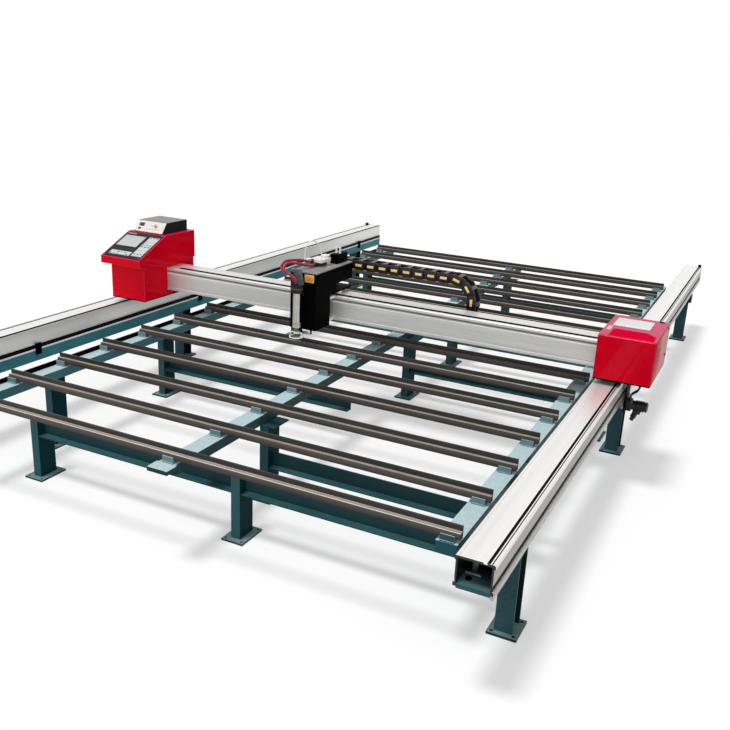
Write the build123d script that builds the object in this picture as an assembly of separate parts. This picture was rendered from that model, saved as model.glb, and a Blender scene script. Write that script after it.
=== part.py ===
"""Gantry cutting machine: two floor rails, a slatted table, and a torch on a travelling beam.

Frame: +Z up, X across the machine, Y along the rails (the operator's end is -Y), origin on the
floor under the middle of the footprint. Millimetres. Lengths across are laid out from the line
midway between the rails; every piece is then shifted by FOOTPRINT_SHIFT as it is written.
"""
from build123d import *
import math
import os

os.makedirs("parts", exist_ok=True)

# Rails: two open aluminium extrusions on the floor legs
RAIL_LENGTH = 6000.0
RAIL_TOP = 600.0
RAIL_WIDTH = 150.0
RAIL_HEIGHT = 122.0
RAIL_WALL = 12.0
RAIL_DECK = 10.0

# Section details that the rails and the beam share
LIP_UPPER = 18.0
LIP_LOWER = 16.0
LIP_RADIUS = 8.0
SIDE_RECESS = 5.0
SIDE_SLOT_HEIGHT = 12.0
SIDE_SLOT_DEPTH = 8.0
DECK_SLOT_WIDTH = 14.0
DECK_SLOT_DEPTH = 5.0
DECK_SLOT_EDGE = 31.0

# Rail base plates and H-section legs, the end legs set in from the rail's ends
BASE_THICK = 18.0
BASE_SUNK = 11.0
LEG_FLANGE = 80.0
LEG_DEPTH = 100.0
LEG_STEEL = 8.0
LEG_FRONT_INSET = 530.0
LEG_MIDDLE_Y = -335.0
LEG_BACK_INSET = 430.0
FOOT_X = 130.0
FOOT_Y = 155.0
FOOT_THICK = 12.0
FOOT_HOLE_X = 94.0
FOOT_HOLE_Y = 118.0
FOOT_HOLE_RADIUS = 8.0

# Long channel beside the left legs, with its brackets; the middle one splices it
CHANNEL_HEIGHT = 78.0
CHANNEL_FLANGE = 37.0
CHANNEL_STEEL = 5.0
CHANNEL_JOINT_GAP = 6.0
CHANNEL_JOINT_Y = -216.0
BRACKET_FRONT_INSET = 1158.0
BRACKET_BACK_INSET = 504.0
BRACKET_LENGTH = 44.0
BRACKET_HEIGHT = 72.0
BRACKET_THICK = 8.0
BRACKET_DROP = 34.0

# Slatted table: the slats' length and the room at their ends set the gap between the rails
TABLE_FRONT = -2752.0
TABLE_LENGTH = 5192.0
TABLE_RISE = 14.0
TABLE_BEAM_WIDTH = 90.0
TABLE_BEAM_HEIGHT = 51.0
TABLE_BEAM_WALL = 4.0
TABLE_BEAM_INSET_LEFT = 24.0
TABLE_BEAM_INSET_RIGHT = 52.0
TABLE_MIDDLE_SHIFT = 5.0
TONGUE_LENGTH = 70.0
TONGUE_WIDTH = 110.0
TONGUE_THICK = 20.0
SLAT_COUNT = 15
SLAT_FRONT_INSET = 29.0
SLAT_BACK_INSET = 242.0
SLAT_LENGTH = 2738.0
SLAT_ROOM_LEFT = 363.0
SLAT_ROOM_RIGHT = 69.0
SLAT_DEPTH = 26.0
SLAT_FOOT_HEIGHT = 30.0
SLAT_WALL = 4.0
FIN_THICK = 8.0
FIN_HEIGHT = 23.0
SADDLE_STEEL = 5.0
SADDLE_SEAT = 18.0
SADDLE_FRONT_LIP = 12.0
SADDLE_BACK_LIP = 8.0
SADDLE_TOE = 4.0
SADDLE_LENGTH = 60.0
SADDLE_PLAY = 0.5
STOP_BAR_THICK = 8.0
STOP_BAR_HEIGHT = 26.0

# Posts in rows across the table, and the cross ties of each row, by the number of the beam
POST_X = 50.0
POST_Y = 110.0
POST_WALL = 5.0
POST_OFFSETS = (-45.0, 45.0, 45.0)
FIRST_POST_ADVANCE = 70.0
POST_FOOT_X = 120.0
POST_FOOT_Y = 175.0
POST_FOOT_THICK = 10.0
POST_HOLE_X = 88.0
POST_HOLE_Y = 143.0
POST_HOLE_RADIUS = 6.0
CAP_X = 150.0
CAP_Y = 130.0
CAP_THICK = 8.0
POST_ROW_DISTANCES = (772.0, 1702.0, 2582.0, 3442.0)
POST_BACK_INSET = 400.0
POST_BEAMS = ((0, 1, 2), (0,), (1, 2), (0, 1, 2), (0, 1, 2))
TIE_RUNS = (((1, 2),), ((0, 1),), ((1, 2),), ((0, 1), (1, 2)), ((0, 1), (1, 2)))
TIE_HEIGHT = 80.0
TIE_LEG = 50.0
TIE_STEEL = 6.0
TIE_BOTTOM = 185.0
FRONT_POST_X = (-992.0, 296.0)
FRONT_POST_SETBACK = 70.0
FRONT_POST_TOP = 330.0
FRONT_TIE_BOTTOM = 244.0
LINK_Y = (-1800.0, 400.0, 1850.0)
LINK_WIDTH = 60.0
LINK_THICK = 8.0

# Gantry beam: it stops short of the left rail and lies over the right one
BEAM_FRONT = -840.0
BEAM_DEPTH = 170.0
BEAM_HEIGHT = 156.0
BEAM_LIFT = 34.0
BEAM_SHORT_LEFT = 25.0
BEAM_OVER_RIGHT = 105.0
BEAM_WALL = 12.0
BEAM_DECK = 8.0

# Trucks: plates on rollers under the beam's two ends, the rollers set off from rail and beam front
TRUCK_THICK = 8.0
RISER_LENGTH = 100.0
ROLLER_RADIUS = 13.7
ROLLER_WIDTH = 30.0
ROLLER_LIFT = 0.3
ROLLER_ROOM = 2.3
ROLLER_BORE_PLAY = 0.05
AXLE_RADIUS = 5.0
EAR_THICK = 6.0
EAR_GAP = 1.0
EAR_LENGTH = 32.0
LEFT_ROLLER_INSET = 25.0
LEFT_ROLLER_SETBACK = (-120.0, 220.0)
RIGHT_ROLLER_INSET = 55.0
RIGHT_ROLLER_SETBACK = (20.0, 330.0)

# Control box on the left truck: heights above the truck, depths from the beam's front and back
CONSOLE_INSET = 38.0
CONSOLE_WIDTH = 325.0
CONSOLE_REACH = 300.0
CONSOLE_LIP_RISE = 235.0
CONSOLE_LIP_HEIGHT = 48.0
CONSOLE_CREST_REACH = 15.0
CONSOLE_HEIGHT = 412.0
CONSOLE_SETBACK = 124.0
CASE_INSET_LEFT = 34.0
CASE_INSET_RIGHT = 12.0
CASE_REACH = 240.0
CASE_HEIGHT = 222.0
SHEET = 3.0
BEAM_PASSAGE_PLAY = 2.0
BEZEL_THICK = 5.0
BEZEL_MARGIN = 12.0
LCD_SIZE = (168.0, 122.0)
LCD_THICK = 3.0
LCD_INSET = 20.0
LCD_DROP = 47.0
KEY_SIZE = (22.0, 16.0)
KEY_THICK = 2.5
KEY_GAP = 5.0
KEYPAD_COLUMNS = 3
KEYPAD_ROWS = 10
KEYPAD_INSET = 6.0
KEYPAD_DROP = 41.0
KEY_ROW_COLUMNS = 6
KEY_ROW_ROWS = 2
KEY_ROW_INSET = 32.0
KEY_ROW_RISE = 20.0

# Torch height control unit on the control box
THC_INSET = 40.0
THC_WIDTH = 243.0
THC_SETBACK = 11.0
THC_LEAN = 56.0
THC_BACK_INSET = 29.0
THC_HEIGHT = 73.0
THC_PANEL_THICK = 3.0
THC_PANEL_MARGIN = 4.0
ROCKER_INSET = 43.74
ROCKER_RISE = 12.0
ROCKER_SIZE = (30.0, 14.0)
ROCKER_SIDE_PLAY = 1.0
ROCKER_PIVOT_DEPTH = 3.5
ROCKER_PIN = 2.0
ROCKER_PIN_REACH = 3.5
ROCKER_SWING = 6.0
ROCKER_PROUD = 5.0
ROCKER_TILT = 3.0
ROCKER_HOLLOW = 2.0
ROCKER_DRAFT = 1.0
THC_KNOB_INSET = 77.76
THC_KNOB_RISE = 6.0
THC_KNOB_RADIUS = 9.0
THC_KNOB_HEIGHT = 12.0
THC_KNOB_GAP = 0.5
THC_KNOB_EDGE = 1.0
THC_SHAFT_RADIUS = 3.0
THC_SHAFT_DEPTH = 5.0

# Drive box on the right truck
DRIVE_INSET = 1.0
DRIVE_WIDTH = 306.0
DRIVE_REACH = 72.0
DRIVE_DEPTH = 490.0
DRIVE_HEIGHT = 244.0
DRIVE_EDGE = 10.0
SIDE_PLATE_THICK = 3.0
SIDE_PLATE_MARGIN = 5.0
SIDE_PLATE_CUT = 60.0

# Rack drives: module, pinion teeth, face width
RAIL_MODULE = 3.0
RAIL_PINION_TEETH = 20
RAIL_RACK_WIDTH = 12.0
RAIL_RACK_HEIGHT = 20.0
RAIL_RACK_PIECES = 6
BEAM_MODULE = 2.0
BEAM_PINION_TEETH = 20
BEAM_RACK_WIDTH = 20.0
BEAM_RACK_DEPTH = 14.0
BEAM_RACK_PIECES = 3
BACKLASH = 0.12
PRESSURE_ANGLE = 20.0
PINION_FACE = 16.0
MOTOR_SIZE = 60.0
MOTOR_BODY_RADIUS = 27.6
MOTOR_CAP_RADIUS = 24.0
MOTOR_CAP_LENGTH = 10.0
MOTOR_LENGTH = 118.0
MOTOR_SHAFT = 7.0
MOTOR_SETBACK = 10.0
DRIVE_BRACKET_THICK = 8.0
DRIVE_BRACKET_GAP = 9.0
DRIVE_BRACKET_Y = 120.0
DRIVE_BRACKET_SKIRT = 3.0
MOTOR_CABLE_RADIUS = 5.0
MOTOR_CABLE_SPREAD = 12.0
SHAFT_PLAY = 0.05
SHAFT_HOLE_PLAY = 2.0

# Carriage and torch housing: heights from the beam's underside and top, depths from its front and back
HOUSING_LEFT = -255.0
HOUSING_WIDTH = 180.0
HOUSING_REACH = 228.0
HOUSING_GAP = 60.0
HOUSING_STEP = 25.0
HOUSING_SETBACK = 70.0
HOUSING_DROP = 24.0
HOUSING_RISE = 172.0
HOUSING_MID_RISE = 24.0
HOUSING_REAR_RISE = 72.0
LID_THICK = 6.0
SADDLE_PLATE = 12.0
SHOE_LENGTH = 40.0
SHOE_PLAY = 0.3
CARRIAGE_MOTOR = 57.0
CARRIAGE_MOTOR_HEIGHT = 60.0
CARRIAGE_SHAFT = 5.0
CARRIAGE_SHAFT_LENGTH = 10.0

# Torch lift: screw, rods, slide block and the torch itself
TORCH_INSET = 80.0
TORCH_REACH = 54.0
TORCH_RADIUS = 25.0
TORCH_BARREL_BELOW = 128.0
TORCH_BARREL_ABOVE = 88.0
COLLAR_RADIUS = 36.0
COLLAR_HEIGHT = 48.0
HEAD_PLATE_FOOT = (-11.0, 27.0)
HEAD_PLATE_CREST = (-50.0, 7.0)
HEAD_PLATE_CREST_FALL = 3.0
HEAD_PLATE_BACK = 34.0
HEAD_PLATE_THICK = 18.0
HEAD_PLATE_HEIGHT = 92.0
TORCH_TIP_RADIUS = 14.0
TORCH_TIP_END_RADIUS = 11.2
TORCH_TIP_LENGTH = 50.0
NOZZLE_RADIUS = 20.0
NOZZLE_END_RADIUS = 11.0
NOZZLE_LENGTH = 42.0
PROBE_RADIUS = 3.0
PROBE_LENGTH = 12.0
LIFT_SCREW_SETBACK = 68.0
LIFT_SCREW_RADIUS = 8.0
LIFT_ROD_RADIUS = 6.0
LIFT_ROD_SPACING = 60.0
LIFT_MOTOR = 42.0
LIFT_MOTOR_HEIGHT = 40.0
SLIDE_BLOCK_WIDTH = 84.0
SLIDE_BLOCK_DEPTH = 44.0
ARM_RISE = 128.0
ARM_HEIGHT = 40.0
ARM_WIDTH = 30.0
ARM_SLOT_PLAY = 3.0
CRADLE_WALL = 8.0
CRADLE_LENGTH = 180.0
CRADLE_LAP = 8.0
LIFT_UP = 120.0
LIFT_DOWN = 6.0

# Drag chain behind the beam
CHAIN_PITCH = 84.0
CHAIN_WIDTH = 90.0
CHAIN_HEIGHT = 64.0
CHAIN_WALL = 6.0
CHAIN_RADIUS = 140.0
CHAIN_DROP = 18.0
CHAIN_SETBACK = 12.0
CHAIN_START_INSET = 79.0
CHAIN_UPPER_LINKS = 9
CHAIN_LOWER_LINKS = 7
CHAIN_BEND_LINKS = 5
CHAIN_LINK_GAP = 0.6
CHAIN_END_BLOCK = 40.0
TRAY_STEEL = 4.0
TRAY_PLAY = 0.5
TRAY_LENGTH = 1480.0
TRAY_LIP = 84.0

# Hoses from the torch collar to the manifold on the lid, and the lead that arches over it
HOSE_RADIUS = 8.0
HOSE_ROUTES = (
    ((-201.0, -1123.0, 936.0), (-201.0, -1123.0, 974.0), (-246.0, -1128.0, 1000.0),
     (-292.0, -1132.0, 1022.0), (-290.0, -1094.0, 1062.0), (-246.0, -1044.0, 1066.0),
     (-220.0, -990.0, 1060.0), (-208.0, -935.0, 1041.0), (-208.0, -890.0, 1041.0)),
    ((-179.0, -1133.0, 936.0), (-179.0, -1133.0, 974.0), (-224.0, -1140.0, 1000.0),
     (-268.0, -1144.0, 1020.0), (-266.0, -1104.0, 1056.0), (-222.0, -1052.0, 1050.0),
     (-194.0, -1000.0, 1034.0), (-186.0, -945.0, 1022.0), (-186.0, -890.0, 1022.0)),
)
MANIFOLD_INSET = 23.0
MANIFOLD_WIDTH = 92.0
MANIFOLD_SETBACK = 10.0
MANIFOLD_DEPTH = 115.0
MANIFOLD_HEIGHT = 44.0
MANIFOLD_PLATE = 18.0
MANIFOLD_FOOT_INSET = 8.0
MANIFOLD_FOOT_WIDTH = 60.0
MANIFOLD_FOOT_DEPTH = 105.0
MANIFOLD_EAR_OVER = 20.0
MANIFOLD_EAR_WIDTH = 28.0
MANIFOLD_EAR_REACH = 55.0
MANIFOLD_EAR_LAP = 30.0
MANIFOLD_EAR_THICK = 10.0
CLAMP_INSET = 95.0
CLAMP_WIDTH = 50.0
CLAMP_BACK_INSET = 12.0
CLAMP_DEPTH = 133.0
CLAMP_HEIGHT = 60.0
WIRE_RADIUS = 3.5
WIRE_ROUTE = (
    (-240.0, -930.0, 1050.0), (-240.0, -930.0, 1085.0), (-240.0, -922.0, 1130.0),
    (-230.0, -895.0, 1162.0), (-216.0, -850.0, 1158.0), (-206.0, -805.0, 1120.0),
    (-202.0, -787.0, 1085.0), (-202.0, -787.0, 1050.0),
)

# Limit switch by the far right leg, and the travel stops on the rails
SWITCH_GAP = 108.0
SWITCH_DROP = 31.0
SWITCH_SIZE = (30.0, 60.0, 70.0)
SWITCH_BRACKET_THICK = 5.0
STOP_INSET = 60.0
STOP_SIZE = (24.0, 30.0, 22.0)

# How far a cutting solid runs past the faces it opens
CUT = 1.0

# Places across the machine, worked out from the sizes above
RAIL_GAP = SLAT_ROOM_LEFT + SLAT_LENGTH + SLAT_ROOM_RIGHT
RAIL_INNER = RAIL_GAP / 2
RAIL_OUTER = RAIL_INNER + RAIL_WIDTH
RAIL_MID = RAIL_INNER + RAIL_WIDTH / 2
SLAT_LEFT = SLAT_ROOM_LEFT - RAIL_INNER
TABLE_LEFT_X = SLAT_LEFT + TABLE_BEAM_INSET_LEFT
TABLE_RIGHT_X = SLAT_LEFT + SLAT_LENGTH - TABLE_BEAM_INSET_RIGHT
TABLE_BEAM_X = (TABLE_LEFT_X, (TABLE_LEFT_X + TABLE_RIGHT_X) / 2 + TABLE_MIDDLE_SHIFT, TABLE_RIGHT_X)
POST_LINE_X = [x + d for x, d in zip(TABLE_BEAM_X, POST_OFFSETS)]
BEAM_LEFT = BEAM_SHORT_LEFT - RAIL_INNER
BEAM_LENGTH = RAIL_INNER + BEAM_OVER_RIGHT - BEAM_LEFT
LEFT_ROLLER_X = -RAIL_INNER - LEFT_ROLLER_INSET
RIGHT_ROLLER_X = RAIL_INNER + RIGHT_ROLLER_INSET
CONSOLE_LEFT = CONSOLE_INSET - RAIL_OUTER
CASE_LEFT = CONSOLE_LEFT + CASE_INSET_LEFT
CASE_RIGHT = CONSOLE_LEFT + CONSOLE_WIDTH - CASE_INSET_RIGHT
THC_LEFT = CONSOLE_LEFT + THC_INSET
DRIVE_LEFT = RAIL_INNER + DRIVE_INSET
DRIVE_RIGHT = DRIVE_LEFT + DRIVE_WIDTH
FOOTPRINT_SHIFT = -(DRIVE_RIGHT + SIDE_PLATE_THICK - RAIL_OUTER) / 2
HOUSING_RIGHT = HOUSING_LEFT + HOUSING_WIDTH
CARRIAGE_PINION_X = HOUSING_LEFT + HOUSING_WIDTH / 2
TORCH_X = HOUSING_LEFT + TORCH_INSET
CHAIN_START = HOUSING_RIGHT - CHAIN_START_INSET
CHAIN_BEND_X = CHAIN_START + CHAIN_UPPER_LINKS * CHAIN_PITCH

# Places along the rails
LEG_Y = (LEG_FRONT_INSET - RAIL_LENGTH / 2, LEG_MIDDLE_Y, RAIL_LENGTH / 2 - LEG_BACK_INSET)
BRACKET_Y = (BRACKET_FRONT_INSET - RAIL_LENGTH / 2, CHANNEL_JOINT_Y, RAIL_LENGTH / 2 - BRACKET_BACK_INSET)
STOP_Y = (STOP_INSET - RAIL_LENGTH / 2, RAIL_LENGTH / 2 - STOP_INSET)
SWITCH_Y = LEG_Y[2] - SWITCH_GAP
FRONT_POST_Y = LEG_Y[0] + FRONT_POST_SETBACK
TABLE_BACK = TABLE_FRONT + TABLE_LENGTH
POST_ROW_Y = [TABLE_FRONT + d for d in POST_ROW_DISTANCES] + [TABLE_BACK - POST_BACK_INSET]
SLAT_FIRST_Y = TABLE_FRONT + SLAT_FRONT_INSET
SLAT_PITCH = (TABLE_LENGTH - SLAT_FRONT_INSET - SLAT_BACK_INSET) / (SLAT_COUNT - 1)
BEAM_BACK = BEAM_FRONT + BEAM_DEPTH
LEFT_ROLLER_Y = [BEAM_FRONT + d for d in LEFT_ROLLER_SETBACK]
RIGHT_ROLLER_Y = [BEAM_FRONT + d for d in RIGHT_ROLLER_SETBACK]
CONSOLE_FRONT = BEAM_FRONT - CONSOLE_REACH
CONSOLE_CREST_Y = BEAM_FRONT - CONSOLE_CREST_REACH
CONSOLE_BACK = BEAM_BACK + CONSOLE_SETBACK
CASE_FRONT = BEAM_FRONT - CASE_REACH
THC_FRONT_FOOT = CONSOLE_CREST_Y + THC_SETBACK
THC_FRONT_TOP = THC_FRONT_FOOT + THC_LEAN
THC_BACK = CONSOLE_BACK - THC_BACK_INSET
DRIVE_FRONT = BEAM_FRONT - DRIVE_REACH
MOTOR_Y = BEAM_BACK + MOTOR_SETBACK
HOUSING_FRONT = BEAM_FRONT - HOUSING_REACH
HOUSING_BACK = BEAM_FRONT - HOUSING_GAP
HOUSING_MID_BACK = BEAM_FRONT + HOUSING_STEP
HOUSING_REAR = BEAM_BACK + HOUSING_SETBACK
TORCH_Y = HOUSING_FRONT - TORCH_REACH
LIFT_SCREW_Y = HOUSING_FRONT + LIFT_SCREW_SETBACK
SLIDE_FRONT = LIFT_SCREW_Y - SLIDE_BLOCK_DEPTH / 2
CHAIN_FRONT = HOUSING_REAR + CHAIN_SETBACK
CHAIN_CENTRE_Y = CHAIN_FRONT + CHAIN_WIDTH / 2
BEAM_PINION_Y = BEAM_BACK + BEAM_RACK_DEPTH - BEAM_MODULE + BEAM_MODULE * BEAM_PINION_TEETH / 2

# Heights
RAIL_BOTTOM = RAIL_TOP - RAIL_HEIGHT
BASE_BOTTOM = RAIL_BOTTOM + BASE_SUNK - BASE_THICK
TABLE_TOP = BASE_BOTTOM + TABLE_RISE
TABLE_BEAM_BOTTOM = TABLE_TOP - TABLE_BEAM_HEIGHT
SLAT_BOTTOM = TABLE_TOP + SADDLE_SEAT
SWITCH_TOP = BASE_BOTTOM - SWITCH_DROP
AXLE_Z = RAIL_TOP + ROLLER_LIFT + ROLLER_RADIUS
TRUCK_BOTTOM = AXLE_Z + ROLLER_RADIUS + ROLLER_ROOM
TRUCK_TOP = TRUCK_BOTTOM + TRUCK_THICK
BEAM_BOTTOM = TRUCK_TOP + BEAM_LIFT
BEAM_TOP = BEAM_BOTTOM + BEAM_HEIGHT
CONSOLE_LIP_BOTTOM = TRUCK_TOP + CONSOLE_LIP_RISE
CONSOLE_LIP_TOP = CONSOLE_LIP_BOTTOM + CONSOLE_LIP_HEIGHT
CONSOLE_TOP = TRUCK_TOP + CONSOLE_HEIGHT
CASE_SHOULDER = TRUCK_TOP + CASE_HEIGHT
RAIL_PINION_Z = RAIL_BOTTOM - RAIL_RACK_HEIGHT + RAIL_MODULE - RAIL_MODULE * RAIL_PINION_TEETH / 2
BEAM_RACK_Z = BEAM_TOP - LIP_UPPER - BEAM_RACK_WIDTH
CARRIAGE_PINION_Z = BEAM_RACK_Z + (BEAM_RACK_WIDTH - PINION_FACE) / 2
HOUSING_BOTTOM = BEAM_BOTTOM - HOUSING_DROP
HOUSING_TOP = BEAM_TOP + HOUSING_RISE
HOUSING_MID_BOTTOM = BEAM_TOP + HOUSING_MID_RISE
HOUSING_REAR_BOTTOM = BEAM_TOP + HOUSING_REAR_RISE
LID_TOP = HOUSING_TOP + LID_THICK
ARM_BOTTOM = BEAM_BOTTOM + ARM_RISE
TORCH_BARREL_BOTTOM = ARM_BOTTOM - TORCH_BARREL_BELOW
TORCH_BARREL_TOP = ARM_BOTTOM + TORCH_BARREL_ABOVE
COLLAR_TOP = TORCH_BARREL_TOP + COLLAR_HEIGHT
TORCH_TIP_BOTTOM = TORCH_BARREL_BOTTOM - TORCH_TIP_LENGTH
NOZZLE_BOTTOM = TORCH_TIP_BOTTOM - NOZZLE_LENGTH
CHAIN_AXIS_TOP = HOUSING_TOP - CHAIN_DROP
CHAIN_BEND_Z = CHAIN_AXIS_TOP - CHAIN_RADIUS
CHAIN_AXIS_LOW = CHAIN_AXIS_TOP - 2 * CHAIN_RADIUS
RAIL_PITCH = math.pi * RAIL_MODULE
BEAM_PITCH = math.pi * BEAM_MODULE


def block(x0, x1, y0, y1, z0, z1):
    """Box between two opposite corners."""
    return Pos((x0 + x1) / 2, (y0 + y1) / 2, (z0 + z1) / 2) * Box(x1 - x0, y1 - y0, z1 - z0)


def post(x, y, z0, z1, radius):
    """Upright cylinder."""
    return Pos(x, y, (z0 + z1) / 2) * Cylinder(radius, z1 - z0)


def bar_x(y, z, x0, x1, radius):
    """Cylinder lying along X."""
    return Pos((x0 + x1) / 2, y, z) * Rot(0, 90, 0) * Cylinder(radius, x1 - x0)


def write(name, *solids):
    """Write one node, as its separate solids, in the part's own frame."""
    placed = [Pos(FOOTPRINT_SHIFT, 0, 0) * s for s in solids]
    export_step(placed[0] if len(placed) == 1 else Compound(placed), f"parts/{name}.step")


def outline(points):
    """Closed face through corner points."""
    return make_face(Polyline(*points, close=True))


def along_y(x, y_far, z, face, length):
    """Extrude a face drawn in X and Z, from its far end towards the front."""
    return extrude(Plane((x, y_far, z), x_dir=(1, 0, 0), z_dir=(0, -1, 0)) * face, amount=length)


def along_x(x_left, y, z, face, length):
    """Extrude a face drawn in Y and Z to the right of its left end."""
    return extrude(Plane((x_left, y, z), x_dir=(0, 1, 0), z_dir=(1, 0, 0)) * face, amount=length)


def box_tube(x0, x1, y0, y1, z0, z1, wall, along):
    """Rectangular tube, open at both ends along the named axis."""
    inset = {a: (0.0 if a == along else wall) for a in "XYZ"}
    low = (x0 + inset["X"], y0 + inset["Y"], z0 + inset["Z"])
    high = (x1 - inset["X"], y1 - inset["Y"], z1 - inset["Z"])
    core = block(low[0], high[0], low[1], high[1], low[2], high[2])
    return block(x0, x1, y0, y1, z0, z1) - core


def extrusion_face(width, height, wall, deck, floor):
    """Aluminium section: lipped sides with a slot low down, and a slot in the deck near the +u edge.

    With no floor the section is open below.
    """
    low = LIP_LOWER + SIDE_SLOT_HEIGHT
    high = height - LIP_UPPER
    slot_right = width - DECK_SLOT_EDGE
    slot_left = slot_right - DECK_SLOT_WIDTH
    slot_back = width - SIDE_SLOT_DEPTH
    recess = width - SIDE_RECESS
    right = [(width, 0), (width, LIP_LOWER), (slot_back, LIP_LOWER), (slot_back, low),
             (recess, low), (recess, high), (width, high), (width, height)]
    slot = [(slot_right, height), (slot_right, height - DECK_SLOT_DEPTH),
            (slot_left, height - DECK_SLOT_DEPTH), (slot_left, height)]
    left = [(width - u, v) for u, v in reversed(right)]
    face = outline(right + slot + left)
    across = face.vertices().group_by(Axis.Y)[-1].sort_by(Axis.X)
    face = fillet([across[0], across[-1]], LIP_RADIUS)
    bottom = floor if floor > 0 else -CUT
    core = Rectangle(width - 2 * wall, height - deck - bottom)
    return face - Pos(width / 2, (bottom + height - deck) / 2) * core


def rail(x_left):
    face = extrusion_face(RAIL_WIDTH, RAIL_HEIGHT, RAIL_WALL, RAIL_DECK, 0.0)
    return along_y(x_left, RAIL_LENGTH / 2, RAIL_BOTTOM, face, RAIL_LENGTH)


def base_plate(x_left):
    left = x_left + RAIL_WALL
    right = x_left + RAIL_WIDTH - RAIL_WALL
    half = RAIL_LENGTH / 2
    return block(left, right, -half, half, BASE_BOTTOM, BASE_BOTTOM + BASE_THICK)


def drilled_plate(x, y, size_x, size_y, thick, hole_x, hole_y, hole_radius):
    """Floor plate with four anchor holes."""
    plate = block(x - size_x / 2, x + size_x / 2, y - size_y / 2, y + size_y / 2, 0, thick)
    for side in (-1, 1):
        for end in (-1, 1):
            plate -= post(x + side * hole_x / 2, y + end * hole_y / 2, -CUT, thick + CUT, hole_radius)
    return plate


def h_leg(x, y):
    """H-section column whose flanges face along the rail."""
    flange = LEG_FLANGE / 2
    depth = LEG_DEPTH / 2
    web = LEG_STEEL / 2
    inner = depth - LEG_STEEL
    right = [(flange, -depth), (flange, -inner), (web, -inner),
             (web, inner), (flange, inner), (flange, depth)]
    left = [(-u, v) for u, v in reversed(right)]
    return extrude(Pos(x, y, FOOT_THICK) * outline(right + left), amount=BASE_BOTTOM - FOOT_THICK)


def channel_length(y0, y1):
    """Channel beside the left legs, its web towards the table."""
    right = -RAIL_MID + LEG_FLANGE / 2 + CHANNEL_FLANGE
    left = right - CHANNEL_FLANGE
    top = BASE_BOTTOM
    bottom = top - CHANNEL_HEIGHT
    steel = CHANNEL_STEEL
    solid = block(left, right, y0, y1, bottom, top)
    return solid - block(left - CUT, right - steel, y0 - CUT, y1 + CUT, bottom + steel, top - steel)


def channel_bracket(y):
    left = -RAIL_MID + LEG_FLANGE / 2 + CHANNEL_FLANGE
    top = BASE_BOTTOM + BRACKET_DROP
    half = BRACKET_LENGTH / 2
    return block(left, left + BRACKET_THICK, y - half, y + half, top - BRACKET_HEIGHT, top)


def tube_post(x, y, top):
    """Rectangular-tube post standing on its foot plate."""
    half_x = POST_X / 2
    half_y = POST_Y / 2
    return box_tube(x - half_x, x + half_x, y - half_y, y + half_y, POST_FOOT_THICK, top, POST_WALL, "Z")


def table_post(x, y):
    """Post with the cap plate that is welded on to carry a table beam."""
    top = TABLE_BEAM_BOTTOM - CAP_THICK
    cap = block(x - CAP_X / 2, x + CAP_X / 2, y - CAP_Y / 2, y + CAP_Y / 2, top, TABLE_BEAM_BOTTOM)
    return tube_post(x, y, top) + cap


def tie(x0, x1, y, bottom):
    """Angle-steel tie with its lower leg towards the front."""
    face = outline([(0, 0), (0, TIE_HEIGHT), (-TIE_STEEL, TIE_HEIGHT), (-TIE_STEEL, TIE_STEEL),
                    (-TIE_LEG, TIE_STEEL), (-TIE_LEG, 0)])
    return along_x(x0, y, bottom, face, x1 - x0)


def table_link(y):
    """Flat bar that ties the right table beam to the underside of the right rail's base plate."""
    left = TABLE_BEAM_X[2] + TABLE_BEAM_WIDTH / 2
    half = LINK_WIDTH / 2
    return block(left, RAIL_MID, y - half, y + half, BASE_BOTTOM - LINK_THICK, BASE_BOTTOM)


def slat(y):
    """Steel slat: a square-cornered tube with a thin upright fin on its back edge."""
    front = FIN_THICK - SLAT_DEPTH
    top = SLAT_FOOT_HEIGHT
    crest = top + FIN_HEIGHT
    face = outline([(front, 0), (FIN_THICK, 0), (FIN_THICK, crest), (0, crest), (0, top), (front, top)])
    core = outline([(front + SLAT_WALL, SLAT_WALL), (-SLAT_WALL, SLAT_WALL), (-SLAT_WALL, top - SLAT_WALL),
                    (front + SLAT_WALL, top - SLAT_WALL)])
    return along_x(SLAT_LEFT, y, SLAT_BOTTOM, face - core, SLAT_LENGTH)


def saddle(x, y):
    """Box-section seat for one slat on one table beam, with a lip before and behind the slat."""
    lip = SADDLE_STEEL
    back = FIN_THICK + SADDLE_PLAY + lip
    front = FIN_THICK - SLAT_DEPTH - SADDLE_PLAY - lip
    seat = SADDLE_SEAT
    front_top = seat + SADDLE_FRONT_LIP
    back_top = seat + SADDLE_BACK_LIP
    toe = front - SADDLE_TOE
    face = outline([(toe, 0), (back, 0), (back, back_top), (back - lip, back_top), (back - lip, seat),
                    (front + lip, seat), (front + lip, front_top), (front, front_top), (front, lip), (toe, lip)])
    core = outline([(front + lip, lip), (back - lip, lip), (back - lip, seat - lip), (front + lip, seat - lip)])
    return along_x(x - SADDLE_LENGTH / 2, y, TABLE_TOP, face - core, SADDLE_LENGTH)


def truck(x0, x1, y0, y1, riser_x, roller_x, roller_ys):
    """Truck plate with the beam's riser on it and a pair of ears hanging over each roller."""
    plate = block(x0, x1, y0, y1, TRUCK_BOTTOM, TRUCK_TOP)
    plate += block(riser_x, riser_x + RISER_LENGTH, BEAM_FRONT, BEAM_BACK, TRUCK_TOP, BEAM_BOTTOM)
    inner = ROLLER_WIDTH / 2 + EAR_GAP
    half = EAR_LENGTH / 2
    foot = AXLE_Z - 2 * AXLE_RADIUS
    for y in roller_ys:
        for x in (roller_x - inner - EAR_THICK, roller_x + inner):
            plate += block(x, x + EAR_THICK, y - half, y + half, foot, TRUCK_BOTTOM)
        reach = inner + EAR_THICK + CUT
        plate -= bar_x(y, AXLE_Z, roller_x - reach, roller_x + reach, AXLE_RADIUS + ROLLER_BORE_PLAY)
    return plate


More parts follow.
